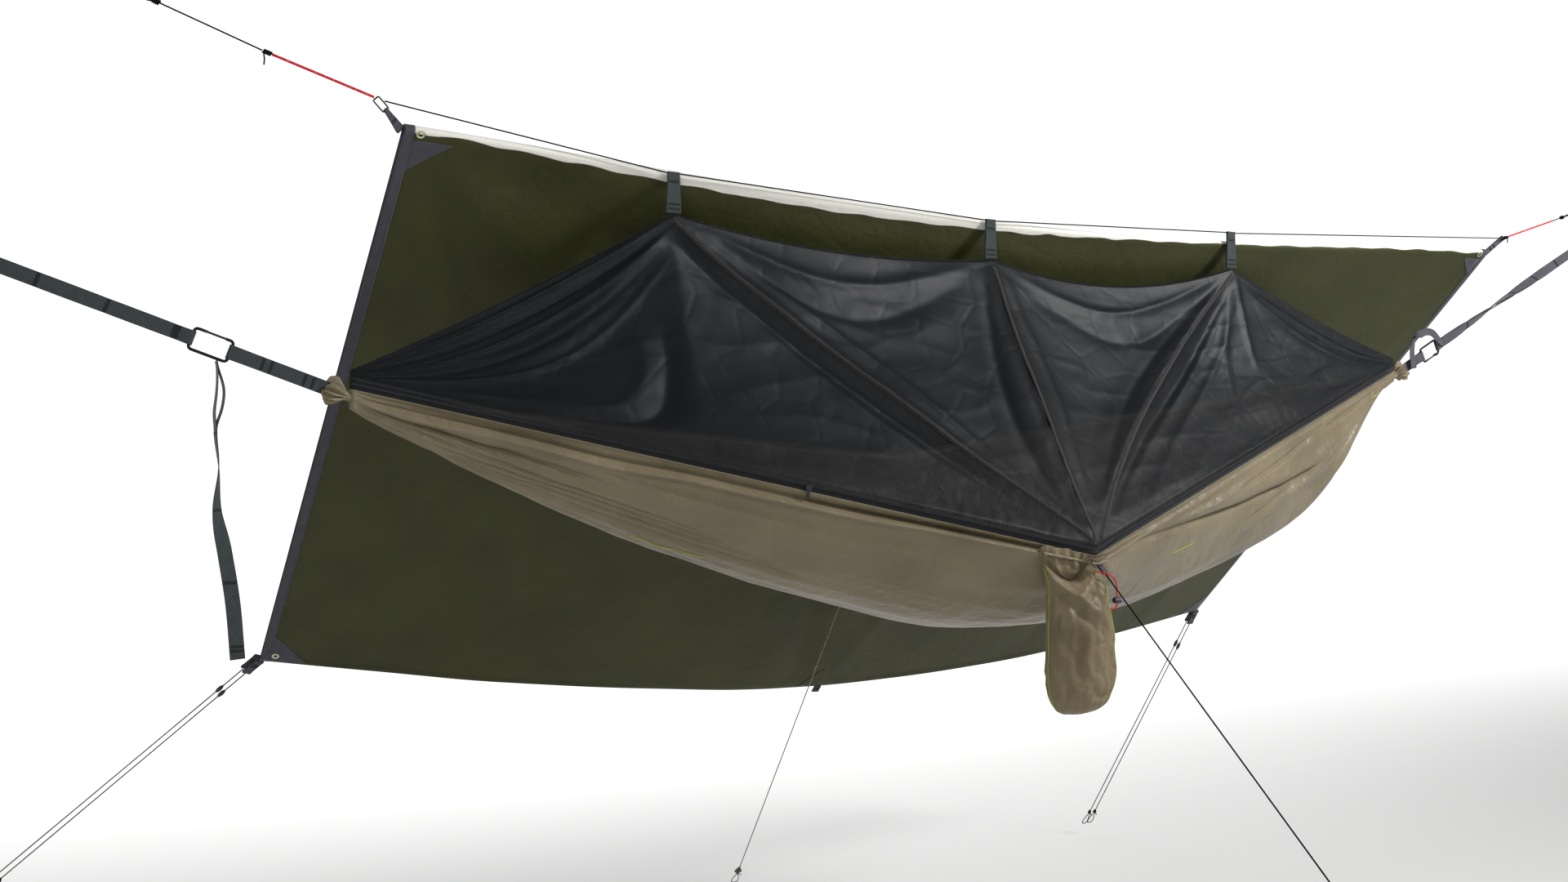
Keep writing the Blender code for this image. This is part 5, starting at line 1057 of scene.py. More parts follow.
def bedSurface():
    x = np.linspace(hammock["start"], hammock["finish"], 370)
    place = np.concatenate([np.linspace(0, 0.12, 40), np.linspace(0.12, 0.36, 50)[1:], np.linspace(0.36, 1.0, 45)[1:]])
    x2, across2 = np.meshgrid(x, place, indexing="ij")
    grid, outY, outZ, below = bedShape(x2, across2)
    total = below[:, -1:]
    fromLeft, fromRight = x2 - hammock["start"], hammock["finish"] - x2
    fromEnd = np.minimum(fromLeft, fromRight)
    height = gatherFolds(x2, across2, total, fromLeft, fromRight)
    # rolled hem under the rim, loose and lumpy, then a dark fold beneath it
    rise = readTable(hemRoll, x2) + 0.0022 * latticeNoise(x2 * 9.0, x2 * 0 + 1.5, 41)
    rightRun = smoothStep(hammock["middle"], hammock["middle"] + 0.25, x2)
    opening = smoothStep(0.0, 0.12, fromEnd)
    lumpy = 1.0 + 0.35 * latticeNoise(x2 * 12.0, x2 * 0 + 4.5, 42)
    roll = crease(below - rise, 0.0066) * 0.0150 * lumpy - crease(below - rise * 0.55, 0.0060) * 0.0130
    height += roll * opening * (1 - 0.75 * rightRun)
    for line, width, size in bedCreases:
        height += foldHeight(x2, below, line, width, size, 0.6)
    # crumples below the hem near both gathers, and small wrinkles everywhere
    loose = smoothStep(0.018, 0.04, below) * (1 - smoothStep(0.09, 0.20, below))
    height += 0.0036 * np.exp(-((fromLeft - 0.28) / 0.22) ** 2) * loose * latticeNoise(x2 * 22, below * 42, 51)
    tight = np.exp(-((fromRight - 0.30) / 0.30) ** 2)
    height += 0.0030 * tight * latticeNoise(x2 * 16 + below * 30, below * 26, 52) * smoothStep(0.0, 0.05, below)
    lines = 1 - 2 * np.abs(latticeNoise(x2 * 3.4 + below * 2, below * 14, 53)) ** 0.8
    height += 0.0018 * lines * smoothStep(0.03, 0.08, below)
    height += 0.0011 * latticeNoise(x2 * 9, below * 14, 54) + 0.0005 * latticeNoise(x2 * 26, below * 34, 55)
    # pulls that run to the pull-out
    toPull = np.hypot(x2 - hammock["middle"], below)
    pulls = np.sin(11 * np.arctan2(below, x2 - hammock["middle"]))
    height += 0.0045 * np.exp(-toPull / 0.16) * pulls * smoothStep(0, 0.03, toPull)
    # slack far wall, which shows through the net
    farWall = smoothStep(0.62, 0.8, across2) * opening
    height += farWall * (0.0040 * latticeNoise(x2 * 7 + across2 * 6, across2 * 16, 56)
                         + 0.0022 * latticeNoise(x2 * 19, across2 * 40, 57))
    # the very edges stay on their lines
    edge = smoothStep(0.0, 0.006, below) * smoothStep(0.0, 0.012, total - below)
    height = height * edge * np.minimum(fromEnd / 0.012, 1.0)
    grid[..., 1] += outY * height
    grid[..., 2] += outZ * height
    return grid, below, x


bedGrid, bedBelow, bedX = bedSurface()
bedUv = np.stack([np.broadcast_to((bedX - hammock["start"])[:, None] * 1.04, bedBelow.shape), bedBelow], axis=-1)
bedPiece = clothPiece("bedCloth", bedGrid, bedUv, hammock["cloth"], khakiNylon)
dress(bedPiece, "bed_body", "bed")

# what is sewn on the near wall: from and to along the bed, and how far below the rim it starts and falls
bedTrim = {"hems": ((0.72, 3.28, 0.0045, 0.0), (0.80, 1.96, 0.031, 0.0)), "hemOff": 0.0009,
           "pipes": {"left": (1.14, 1.32, 0.190, 0.10), "right": (2.30, 2.42, 0.115, 0.05),
                     "end": (3.20, 3.29, 0.030, 0.0)}, "pipeOff": 0.0014}
pipingRadius = 0.0011


def bedSeams():
    # lime piping under the left run and by the right gather, and the hem's two rows of stitches
    normals = gridNormals(bedGrid)
    side = np.sign((normals[170, 20] * np.array((0, -1.0, -0.3))).sum())

    def lineAt(low, high, level, fall, lift):
        points = []
        for i in range(len(bedX)):
            if low <= bedX[i] <= high:
                k = int(np.argmin(np.abs(bedBelow[i] - (level + fall * (bedX[i] - low)))))
                points.append(bedGrid[i, k] + normals[i, k] * side * lift)
        return np.array(points)

    rows = [lineAt(*hem, bedTrim["hemOff"]) for hem in bedTrim["hems"]]
    dress(stitchPiece("bedStitches", rows, "hem", paleThread), "bed_body")
    pipes = []
    for name, pipe in bedTrim["pipes"].items():
        line = resample(lineAt(*pipe, bedTrim["pipeOff"])[::4], 0.006)
        pipes.append(sweep("limePiping" + name, line, *pathFrames(line), circle(pipingRadius, 8), limePiping))
    dress(joinPieces("limePiping", pipes), "bed_body")


bedSeams()
print("bed made")

# Gathered ends, ruffled casings round each sling

gatherPlan = {
    "leftGather": {"node": "left_gathered_end", "neck": (0.63602, 0.0, -0.22568), "outward": (-0.94243, 0.0, 0.33441),
                   "seed": 3},
    "rightGather": {"node": "right_gathered_end", "neck": (3.36083, 0.0, -0.09268), "outward": (0.89219, 0.0, 0.45167),
                    "seed": 4},
}
# the profile is the casing's radius, in necks, by distance from the neck; the inside turns back into it
gather = {"length": 0.044, "neck": 0.008, "pleats": 11, "around": 132, "rings": 60,
          "profile": ((0.0, 1.0), (0.006, 1.05), (0.016, 1.75), (0.026, 2.25), (0.036, 2.1), (0.042, 1.75),
                      (0.044, 1.35)),
          "inside": ((0.0446, 1.22), (0.0440, 1.0), (0.0415, 0.86), (0.037, 0.74), (0.030, 0.3))}


def gatheredEnd(name, plan):
    neck, outward = np.array(plan["neck"]), np.array(plan["outward"])
    side = unit(np.cross(outward, across))
    phases = np.random.default_rng(plan["seed"]).uniform(0, 2 * math.pi, 4)
    around, outside = gather["around"], gather["rings"]
    angles = np.linspace(0, 2 * math.pi, around, endpoint=False)
    stations = np.concatenate([np.linspace(-0.010, gather["length"], outside),
                               [place for place, share in gather["inside"]]])
    path, outlines = [], []
    for k, distance in enumerate(stations):
        inside = k >= outside
        if inside:
            radius = gather["neck"] * gather["inside"][k - outside][1]
        else:
            swell = float(readTable(gather["profile"], max(distance, 0.0)))
            radius = gather["neck"] * swell * (1.0 + min(distance, 0) * 12)
        depth = 0.27 * smoothStep(0.0, 0.016, distance)
        turn = gather["pleats"] * angles / 2 + phases[0] + 0.9 * np.sin(2 * angles + phases[1]) + distance * 14
        wave = 1 - 2 * np.abs(np.sin(turn)) ** 0.8
        fine = np.sin(23 * angles + phases[2] + distance * 60) * 0.060
        ring = radius * (1 + (0.05 + depth) * wave + fine * smoothStep(0, 0.012, distance))
        wideness = 1.0 + 0.28 * smoothStep(0.012, 0.040, distance)
        outlines.append(np.stack([np.cos(angles) * ring * wideness,
                                  np.sin(angles) * ring * (0.92 if inside else 1.0)], axis=1))
        path.append(neck + outward * distance)
    # the casing's two corners fold back unevenly
    outlines = np.array(outlines)
    rings = np.array(path)[:, None] + side * outlines[..., :1] + across * outlines[..., 1:]
    slip = 0.0035 * np.sin(2 * angles + phases[3]) + 0.0020 * np.sin(5 * angles + phases[2])
    rings += outward * (slip[None, :, None] * smoothStep(0.02, gather["length"], stations)[:, None, None])
    count = len(stations)
    faces = [(i * around + k, i * around + (k + 1) % around, (i + 1) * around + (k + 1) % around, (i + 1) * around + k)
             for i in range(count - 1) for k in range(around)]
    faces += [tuple(range(around - 1, -1, -1)), tuple((count - 1) * around + k for k in range(around))]
    uvs = np.stack(np.broadcast_arrays(angles[None] * 0.012, stations[:, None]), axis=-1)
    piece = turnOutwards(meshPiece(name, rings, faces, khakiNylon, uvs))
    dress(piece, "root", plan["node"])


for gatherName, plan in gatherPlan.items():
    gatheredEnd(gatherName, plan)
print("gathered ends made")


# Net

net = {"peaks": ((1.267, 0.158), (2.044, 0.124), (2.777, 0.154)), "sags": (0.010, 0.030, 0.052, 0.012),
       "endRise": 0.034, "zip": 0.0146, "hem": 0.008, "hollow": 0.030, "fullDrop": 0.450, "fold": 0.012,
       "foldWidth": 0.075, "cloth": 0.0008, "flat": (1.35, 2.95), "steps": 358, "hemShare": 0.97, "height": 0.62,
       "pulls": ((1.267, "middle"), (2.044, "middle"), (2.777, "middle"), (1.267, "start"), (2.777, "finish"))}
netX = np.linspace(hammock["start"], hammock["finish"], net["steps"])
# rows of the near side from the rim up, and of the far side from the top down, as shares of the way down
netNearDown = np.concatenate([np.linspace(1.0, net["hemShare"], 4)[:-1], np.linspace(net["hemShare"], 0.0, 96)])
netFarDown = np.concatenate([np.linspace(0.0, net["hemShare"], 36)[1:], [1.0]])


def netRidge(x):
    ends = [(hammock[end], float(nearRim(np.array(hammock[end]))[2]) + net["endRise"]) for end in ("start", "finish")]
    ends[1:1] = net["peaks"]
    height = np.zeros_like(x)
    for k in range(4):
        (x0, z0), (x1, z1) = ends[k], ends[k + 1]
        share = np.clip((x - x0) / (x1 - x0), 0, 1)
        level = z0 + (z1 - z0) * share - net["sags"][k] * 4 * share * (1 - share)
        height = np.where((x >= x0 - 1e-9) & (x <= x1 + 1e-9), level, height)
    return height


# creases of the near side, as places along the hammock and shares of the way down to the rim
netCreases = (
    # peak 1 to the pull-out: a sharp seam with its dark hollow, and its companions
    (((1.267, 0.02), (1.998, 0.98)), 0.014, 0.01035),
    (((1.225, 0.05), (1.93, 0.98)), 0.026, -0.0138),
    (((1.300, 0.02), (1.62, 0.36), (1.80, 0.62), (1.99, 0.97)), 0.010, 0.005175),
    (((1.31, 0.05), (1.70, 0.56), (1.97, 0.97)), 0.020, -0.005175),
    (((1.40, 0.30), (1.60, 0.62), (1.85, 0.90)), 0.012, 0.004025),
    # peak 2 to the pull-out
    (((2.044, 0.02), (2.03, 0.5), (2.0, 0.985)), 0.009, 0.00575),
    (((2.01, 0.05), (1.95, 0.55), (1.975, 0.98)), 0.014, -0.00483),
    (((2.07, 0.03), (2.09, 0.5), (2.02, 0.97)), 0.012, 0.00345),
    # peak 3 to the pull-out, several side by side
    (((2.777, 0.02), (2.42, 0.50), (2.01, 0.98)), 0.014, 0.00713),
    (((2.80, 0.05), (2.50, 0.52), (2.04, 0.97)), 0.020, -0.0069),
    (((2.80, 0.05), (2.55, 0.50), (2.10, 0.95)), 0.014, 0.00483),
    (((2.74, 0.04), (2.36, 0.48), (2.02, 0.97)), 0.016, -0.0046),
    (((2.80, 0.06), (2.64, 0.50), (2.24, 0.94)), 0.016, 0.00414),
    (((2.777, 0.03), (2.70, 0.40), (2.62, 0.85)), 0.014, 0.00414),
    (((2.79, 0.02), (2.785, 0.35), (2.78, 0.60)), 0.007, 0.00552),
    # the left end to peak 1, along the top edge
    (((0.66, 0.20), (0.95, 0.08), (1.26, 0.012)), 0.010, 0.00805),
    (((0.66, 0.45), (0.95, 0.19), (1.26, 0.035)), 0.011, -0.0069),
    (((0.66, 0.60), (0.95, 0.30), (1.25, 0.06)), 0.010, 0.0069),
    (((0.67, 0.75), (0.98, 0.42), (1.24, 0.10)), 0.013, -0.005175),
    (((0.68, 0.85), (1.00, 0.56), (1.25, 0.16)), 0.010, 0.005175),
    # peak 3 to the right end
    (((2.80, 0.02), (3.05, 0.13), (3.32, 0.45)), 0.009, 0.0069),
    (((2.82, 0.06), (3.05, 0.24), (3.32, 0.65)), 0.012, -0.006325),
    (((2.83, 0.08), (3.05, 0.36), (3.31, 0.80)), 0.010, 0.00575),
    # a loose pleat that hangs and then trails to the left along the zip
    (((1.17, 0.34), (1.175, 0.60), (1.13, 0.78), (1.02, 0.86), (0.80, 0.88)), 0.024, 0.00483),
    (((1.225, 0.42), (1.220, 0.66), (1.17, 0.86), (1.00, 0.94)), 0.022, -0.00805),
    # soft scallops between the peaks, just under the top line
    (((1.32, 0.03), (1.62, 0.13), (1.98, 0.03)), 0.016, 0.0069),
    (((1.34, 0.08), (1.64, 0.26), (1.97, 0.07)), 0.020, -0.0046),
    (((2.10, 0.03), (2.38, 0.14), (2.73, 0.03)), 0.014, 0.0069),
    (((2.12, 0.09), (2.40, 0.28), (2.72, 0.07)), 0.018, -0.0046),
)


# creases of the far side: where each starts, how far it leans, and its height
netFarCreases = ((0.95, 0.10, 0.004), (1.25, -0.06, 0.006), (1.6, 0.12, -0.004), (2.05, 0.02, 0.006),
                 (2.4, -0.10, -0.004), (2.77, 0.05, 0.006), (3.05, 0.08, 0.004))


def netSide(down, rim, near):
    x2, down2 = np.meshgrid(netX, down, indexing="ij")
    edge = rim(x2) + up * (net["zip"] if near else gap)
    hem = edge + up * net["hem"]
    top = np.stack([x2, np.zeros_like(x2), netRidge(x2)], axis=-1)
    down1 = np.minimum(down2 / net["hemShare"], 1.0)
    points = top + (hem - top) * down1[..., None]
    last = np.clip((down2 - net["hemShare"]) / (1 - net["hemShare"]), 0, 1)[..., None]
    points = points * (1 - last) + edge * last
    drop = hem - top
    length = np.linalg.norm(drop, axis=-1)
    outward = unit(np.stack([np.zeros_like(x2), drop[..., 2], -drop[..., 1]], axis=-1))
    outward *= np.where(outward[..., 1:2] * rim(x2)[..., 1:2] < 0, -1.0, 1.0)
    tight = np.sin(math.pi * down1)
    height = -net["hollow"] * 4 * down1 * (1 - down1)
    for source, end in net["pulls"]:
        centre = source + (hammock[end] - source) * down1
        away = (x2 - centre) / (net["foldWidth"] * (0.35 + 0.65 * tight))
        height += net["fold"] * np.exp(-away * away) * tight
    height = height * np.minimum(length / net["fullDrop"], 1.0)
    deep = down1 * net["height"]
    if near:
        for line, width, size in netCreases:
            height += foldHeight(x2, deep, [(x, share * net["height"]) for x, share in line], width, size)
    else:
        for place, lean, size in netFarCreases:
            height += foldHeight(x2, deep, ((place, 0.02), (place + lean, 0.60)), 0.015, size)
    # a soft crumple, and ridges like those of cloth that was folded away
    soft = np.minimum(length / 0.25, 1.0) * smoothStep(0.0, 0.10, down1) * smoothStep(0.0, 0.05, 1 - down1)
    seed = 60 if near else 70
    height += soft * (0.0040 * latticeNoise(x2 * 4.0, deep * 6, seed)
                      + 0.0012 * latticeNoise(x2 * 12, deep * 18, seed + 1)
                      + 0.0003 * latticeNoise(x2 * 34, deep * 44, seed + 2))
    lines = 1 - 2 * np.abs(latticeNoise(x2 * 5 + deep * 9, deep * 14 - x2 * 3, seed + 3)) ** 0.5
    height += 0.0011 * soft * lines
    # ruffles where the net is sewn to the zip, tightest towards the left gather
    sewn = np.exp(-((1 - down1) * length / 0.035)) * smoothStep(0, 0.02, 1 - down1)
    patchy = np.clip(latticeNoise(x2 * 4, deep * 0, seed + 5) + 0.2, 0, 1)
    height += 0.0010 * sewn * patchy * np.sin(2 * math.pi * x2 / 0.034 + 5 * latticeNoise(x2 * 7, deep * 0, seed + 4))
    ends = np.minimum(np.minimum(x2 - hammock["start"], hammock["finish"] - x2) / 0.03, 1.0)
    points = points + outward * (height * ends * (1 - last[..., 0]))[..., None]
    return points, down2 * (length + net["hem"])


def makeNet():
    near, nearV = netSide(netNearDown, nearRim, True)
    far, farV = netSide(netFarDown, farRim, False)
    grid = np.concatenate([near, far], axis=1)
    # the map runs along the net and, from the ridge, down its near side and its far side
    v = np.concatenate([-nearV, farV], axis=1)
    uvs = np.stack([np.broadcast_to(netX[:, None], v.shape), v], axis=-1)
    piece = clothPiece("netCloth", grid, uvs, net["cloth"], blackNet)
    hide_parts("net")
    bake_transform(piece)
    return grid


netGrid = makeNet()

# seams by place along the hammock and share of the way down, and the section of their tape
netSeam = {"lines": (((1.267, 0.03), (1.998, 0.965)), ((2.777, 0.03), (2.42, 0.50), (2.02, 0.965)),
                     ((2.044, 0.03), (2.03, 0.5), (2.0, 0.965))),
           "half": 0.004, "deep": 0.0003, "off": 0.0007, "stitchIn": 0.0028, "stitchOff": 0.0004, "steps": 120}


def netSeams():
    # narrow felled seams that run over the net, in the same cloth doubled
    normals = gridNormals(netGrid)
    outward = normals * np.sign((normals[200, 50] * np.array((0, -1.0, 0.2))).sum())

    def at(place, down):
        # the point on the net and its way out, between the four nearest of the grid
        i = (place - netX[0]) / (netX[1] - netX[0])
        k = float(np.interp(-down, -netNearDown, np.arange(len(netNearDown))))
        i0, k0 = int(min(i, net["steps"] - 2)), int(min(k, netGrid.shape[1] - 2))
        a, b = i - i0, k - k0
        return [(field[i0, k0] * (1 - a) + field[i0 + 1, k0] * a) * (1 - b)
                + (field[i0, k0 + 1] * (1 - a) + field[i0 + 1, k0 + 1] * a) * b for field in (netGrid, outward)]

    half, deep = netSeam["half"], netSeam["deep"]
    seams, stitches = [], []
    for line in netSeam["lines"]:
        rough = np.array(line, dtype=float)
        path, lifts = [], []
        for s in np.linspace(0, len(rough) - 1, netSeam["steps"]):
            k = min(int(s), len(rough) - 2)
            point, normal = at(*(rough[k] + (rough[k + 1] - rough[k]) * (s - k)))
            normal = unit(normal)
            path.append(point + normal * netSeam["off"])
            lifts.append(normal)
        path, lifts = np.array(path), np.array(lifts)
        along = unit(np.gradient(path, axis=0))
        sides = unit(np.cross(along, lifts))
        seams.append(sweep("seam", path, sides, np.cross(sides, along),
                           [(-half, -deep), (half, -deep), (half, deep), (-half, deep)], blackTape))
        stitches += [path + sides * netSeam["stitchIn"] * way + lifts * netSeam["stitchOff"] for way in (1, -1)]
    piece = joinPieces("netSeams", seams)
    threads = stitchPiece("netSeamStitches", stitches, "seam", paleThread)
    for made in (piece, threads):
        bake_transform(made)


netSeams()
print("net made")


# Zip along the near rim: a woven tape, its coil of teeth and rows of stitches

zipTape = {"height": 0.014, "thickness": 0.0014, "bulge": 0.0004, "tooth": 0.0016, "pitch": 0.0022,
           "teethRise": 0.0095, "teethOff": 0.0016, "stitchRises": (0.0035, 0.0130), "stitchOff": 0.0010}


def addTooth(tree, given):
    # a little bar across the tape, as long as Tooth
    size = addNode(tree, "ShaderNodeCombineXYZ", {"X": 0.0034, "Z": 0.0010}, {"Y": given.outputs["Tooth"]})
    tooth = addNode(tree, "GeometryNodeMeshCube", None, {"Size": size.outputs["Vector"]})
    return tooth.outputs["Mesh"], {}, False


def zipLine(x, rise, off):
    return nearRim(x) + up * rise - across * off


def makeZip():
    x = np.unique(np.concatenate([np.linspace(hammock["start"], hammock["middle"], 160),
                                  np.linspace(hammock["middle"], hammock["finish"], 160)]))
    rise = np.linspace(gap, gap + zipTape["height"], 6)
    grid = np.stack([zipLine(x, r, zipTape["bulge"] * math.sin(math.pi * k / 5)) for k, r in enumerate(rise)], axis=1)
    uvs = np.stack(np.broadcast_arrays(x[:, None] * 1.1, rise[None]), axis=-1)
    tape = clothPiece("zipTape", grid, uvs, zipTape["thickness"], blackTape)
    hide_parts("zip_tape")
    line = resample(zipLine(x, zipTape["teethRise"], zipTape["teethOff"])[::8], 0.01)
    teeth = rowPiece("zipTeeth", [line], "toothRow", {"Pitch": zipTape["pitch"], "Tooth": zipTape["tooth"]},
                     addTooth, blackAcetal)
    lines = [zipLine(x[::2], stitchRise, zipTape["stitchOff"]) for stitchRise in zipTape["stitchRises"]]
    stitches = stitchPiece("zipStitches", lines, "zip", blackThread)
    for piece in (tape, teeth, stitches):
        dress(piece, "bed_body")


makeZip()
print("zip made")


# Tarp: one sheet over the ridge, both halves thrown to the far side

tarp = {"left": 0.734, "ridge": 3.030, "back": 0.018, "roll": 0.009, "height": 0.313, "topDrop": 0.034, "topSag": 0.066,
        "sagPower": 1.4, "reach": 1.050, "low": -0.800, "lowSag": 0.145, "lowDraw": 0.090, "leftSkew": 0.082,
        "rightSkew": 0.104, "apart": 0.012, "belly": 0.020, "binding": 0.019, "tuck": 0.006, "bindingCloth": 0.0026,
        "cloth": 0.0010, "flat": (3.03, 3.0), "half": 1.5, "rollRings": 9}
# how far below the roll the turned-over edge shows, its coated back painted near white as a highlight from the light
# above, by share of the ridge
highlightStripEdge = ((0.0, 0.001), (0.05, 0.002), (0.15, 0.010), (0.28, 0.015), (0.45, 0.008), (0.6, -0.002), (0.8, -0.008),
              (1.0, 0.0))
# soft folds from the ridge's left corner, and slack ones that hang between the tabs, in metres along and down
tarpFolds = (
    (((0.02, 0.02), (0.45, 0.80), (0.62, 1.46)), 0.040, 0.0090),
    (((0.03, 0.02), (0.95, 0.75), (1.35, 1.45)), 0.050, -0.0081),
    (((0.05, 0.01), (1.20, 0.45), (2.10, 1.10)), 0.055, 0.0081),
    (((0.02, 0.03), (0.20, 0.70), (0.25, 1.46)), 0.035, -0.0063),
    (((3.00, 0.02), (2.55, 0.60), (2.20, 1.46)), 0.050, 0.0081),
    (((3.00, 0.02), (2.80, 0.75), (2.75, 1.46)), 0.040, -0.0072),
    (((1.40, 1.47), (1.32, 1.10), (1.20, 0.70)), 0.035, 0.0054),
    (((1.52, 1.47), (1.62, 1.15), (1.85, 0.80)), 0.035, -0.0054),
)


def tarpTop(along):
    return tarp["height"] - tarp["topDrop"] - tarp["topSag"] * (4 * along * (1 - along)) ** tarp["sagPower"]


def tarpFold(along, down, layer):
    bow = np.sin(math.pi * np.clip(along, 0, 1))
    edge = bow ** 0.5 * np.sin(math.pi * np.clip(down, 0, 1))
    fan = np.sin(9.0 * np.arctan2(along * 1.7, down + 0.12)) * np.exp(-1.6 * along)
    hang = np.sin(2 * math.pi * 4 * along) * (1.0 - down) * along
    height = 0.014 * edge * (fan + 0.5 * hang)
    u, v = along * tarp["ridge"], down * tarp["half"]
    seed = 80 if layer == 0 else 90
    for line, width, size in tarpFolds:
        height = height + foldHeight(u, v, line, width, size)
    inner = (smoothStep(0.0, 0.05, down) * smoothStep(0.0, 0.012, 1 - down) * smoothStep(0.0, 0.01, along)
             * smoothStep(0.0, 0.01, 1 - along))
    height = height + inner * (0.0060 * latticeNoise(u * 1.6, v * 2.1, seed)
                               + 0.0022 * latticeNoise(u * 5.0, v * 5.0, seed + 1)
                               + 0.0008 * latticeNoise(u * 15, v * 15, seed + 2))
    # the lower edge flutters a little between its corners
    return height + 0.006 * np.exp(-(1 - down) / 0.07) * bow * latticeNoise(u * 4.0, v * 0 + 2.5, seed + 3)


def tarpRidge(along):
    return np.stack([tarp["left"] + tarp["ridge"] * along, np.full_like(along, tarp["back"]),
                     tarpTop(along) - tarp["roll"]], axis=-1)


def tarpPoints(along, down, layer):
    top = tarpRidge(along)
    bow = np.sin(math.pi * np.clip(along, 0, 1))
    skew = tarp["leftSkew"] + (tarp["rightSkew"] - tarp["leftSkew"]) * along
    low = np.stack([top[..., 0] - skew, tarp["reach"] - tarp["lowDraw"] * bow, tarp["low"] - tarp["lowSag"] * bow],
                   axis=-1)
    drop = low - top
    outward = unit(np.stack([np.zeros_like(along), -drop[..., 2], drop[..., 1]], axis=-1))
    apart = tarp["roll"] + (tarp["apart"] / 2 - tarp["roll"]) * down
    side = -apart if layer == 0 else apart
    belly = -tarp["belly"] * np.sin(math.pi * down) * bow
    return top + drop * down[..., None] + outward * (side + belly + tarpFold(along, down, layer))[..., None]


def tarpGrid(along, downs):
    along2, down2 = np.meshgrid(along, downs, indexing="ij")
    inner = tarpPoints(along2[:, ::-1], down2[:, ::-1], 0)
    outer = tarpPoints(along2, down2, 1)
    rings = tarp["rollRings"]
    roll = []
    for degrees in np.linspace(205, 37, rings):
        angle = math.radians(degrees)
        roll.append(tarpRidge(along) + np.array((0, math.cos(angle), math.sin(angle))) * tarp["roll"])
    grid = np.concatenate([inner, np.stack(roll, axis=1), outer], axis=1)
    overRoll = np.broadcast_to(np.linspace(-0.012, 0.012, rings), (len(along), rings))
    v = np.concatenate([-down2[:, ::-1] * tarp["half"], overRoll, down2 * tarp["half"]], axis=1)
    uvs = np.stack([np.broadcast_to(along[:, None] * tarp["ridge"], v.shape), v], axis=-1)
    return grid, uvs


tarpDowns = np.concatenate([[0.004, 0.008, 0.012, 0.016, 0.021, 0.027, 0.034], np.linspace(0.045, 0.975, 66),
                            [0.982, 0.989, 0.995, 1.0]])


def makeTarp():
    margin = tarp["binding"] / tarp["ridge"]
    start = (tarp["binding"] - tarp["tuck"]) / tarp["ridge"]
    along = np.linspace(start, 1 - start, 260)
    piece = clothPiece("tarpCloth", *tarpGrid(along, tarpDowns), tarp["cloth"], oliveTarp)
    # the coated back of the cloth shows where the edge turns over, painted near white as a highlight from the light
    # above
    place = np.linspace(0, 1, len(along))[:, None]
    wavy = 0.0015 * np.sin(place * 150) + 0.0012 * latticeNoise(place * 90, place * 0, 95)
    edge = readTable(highlightStripEdge, place) + wavy
    overRoll = -np.linspace(0, math.pi * tarp["roll"], tarp["rollRings"])
    below = np.concatenate([tarpDowns[::-1] * tarp["half"], overRoll, np.full(len(tarpDowns), 1.0)])[None]
    turned = 0.5 + (edge - below) / 0.012
    piece.data.attributes.new("turned", "FLOAT", "POINT").data.foreach_set("value", np.tile(turned.ravel(), 2))
    dress(piece, "root", "tarp")
    for side, ends in (("left", (0.0, margin)), ("right", (1 - margin, 1.0))):
        edge, edgeUv = tarpGrid(np.linspace(ends[0], ends[1], 7), tarpDowns)
        band = clothPiece(side + "TarpBinding", edge, edgeUv[..., ::-1], tarp["bindingCloth"], greyBinding)
        dress(band, "root", side + "_tarp_binding")


makeTarp()


def tarpLine(along, down, layer, off):
    # places on the tarp, lifted off the face that is on the outside of its layer
    points = tarpPoints(along, down, layer)
    step = 1e-3
    overAlong, overDown = tarpPoints(along + step, down, layer), tarpPoints(along, down + step, layer)
    normal = unit(np.cross(overAlong - points, overDown - points))
    normal *= np.where(normal[..., 1:2] > 0, -1.0, 1.0) if layer == 0 else np.where(normal[..., 1:2] < 0, -1.0, 1.0)
    return points + normal * off


# a patch's corner as shares along and down, and how far it runs along in metres and down in shares
tarpPatches = {"LeftLow": ("left", 0.997, 0.085, -0.060), "RightLow": ("right", 0.997, -0.085, -0.060),
               "LeftHigh": ("left", 0.010, 0.075, 0.045), "RightHigh": ("right", 0.010, -0.060, 0.035),
               "Mid": (0.490, 0.998, 0.060, -0.050), "MidOther": (0.490, 0.998, -0.060, -0.050)}
patch = {"steps": 14, "size": 0.06, "off": 0.0011, "cloth": 0.0007}


def tarpPatch(name, corner, size, layer, finish):
    # a three-cornered reinforcement
    steps = patch["steps"]
    rows = []
    for a in np.linspace(0, 1, steps):
        reach = (1 - a) * 0.98 + 0.02
        rows.append(tarpLine(corner[0] + size[0] * a + np.zeros(steps),
                             corner[1] + size[1] * np.linspace(0, 1, steps) * reach, layer, patch["off"]))
    ticks = np.linspace(0, patch["size"], steps)
    uvs = np.stack(np.meshgrid(ticks, ticks, indexing="ij"), axis=-1)
    return clothPiece(name, np.array(rows), uvs, patch["cloth"], finish)


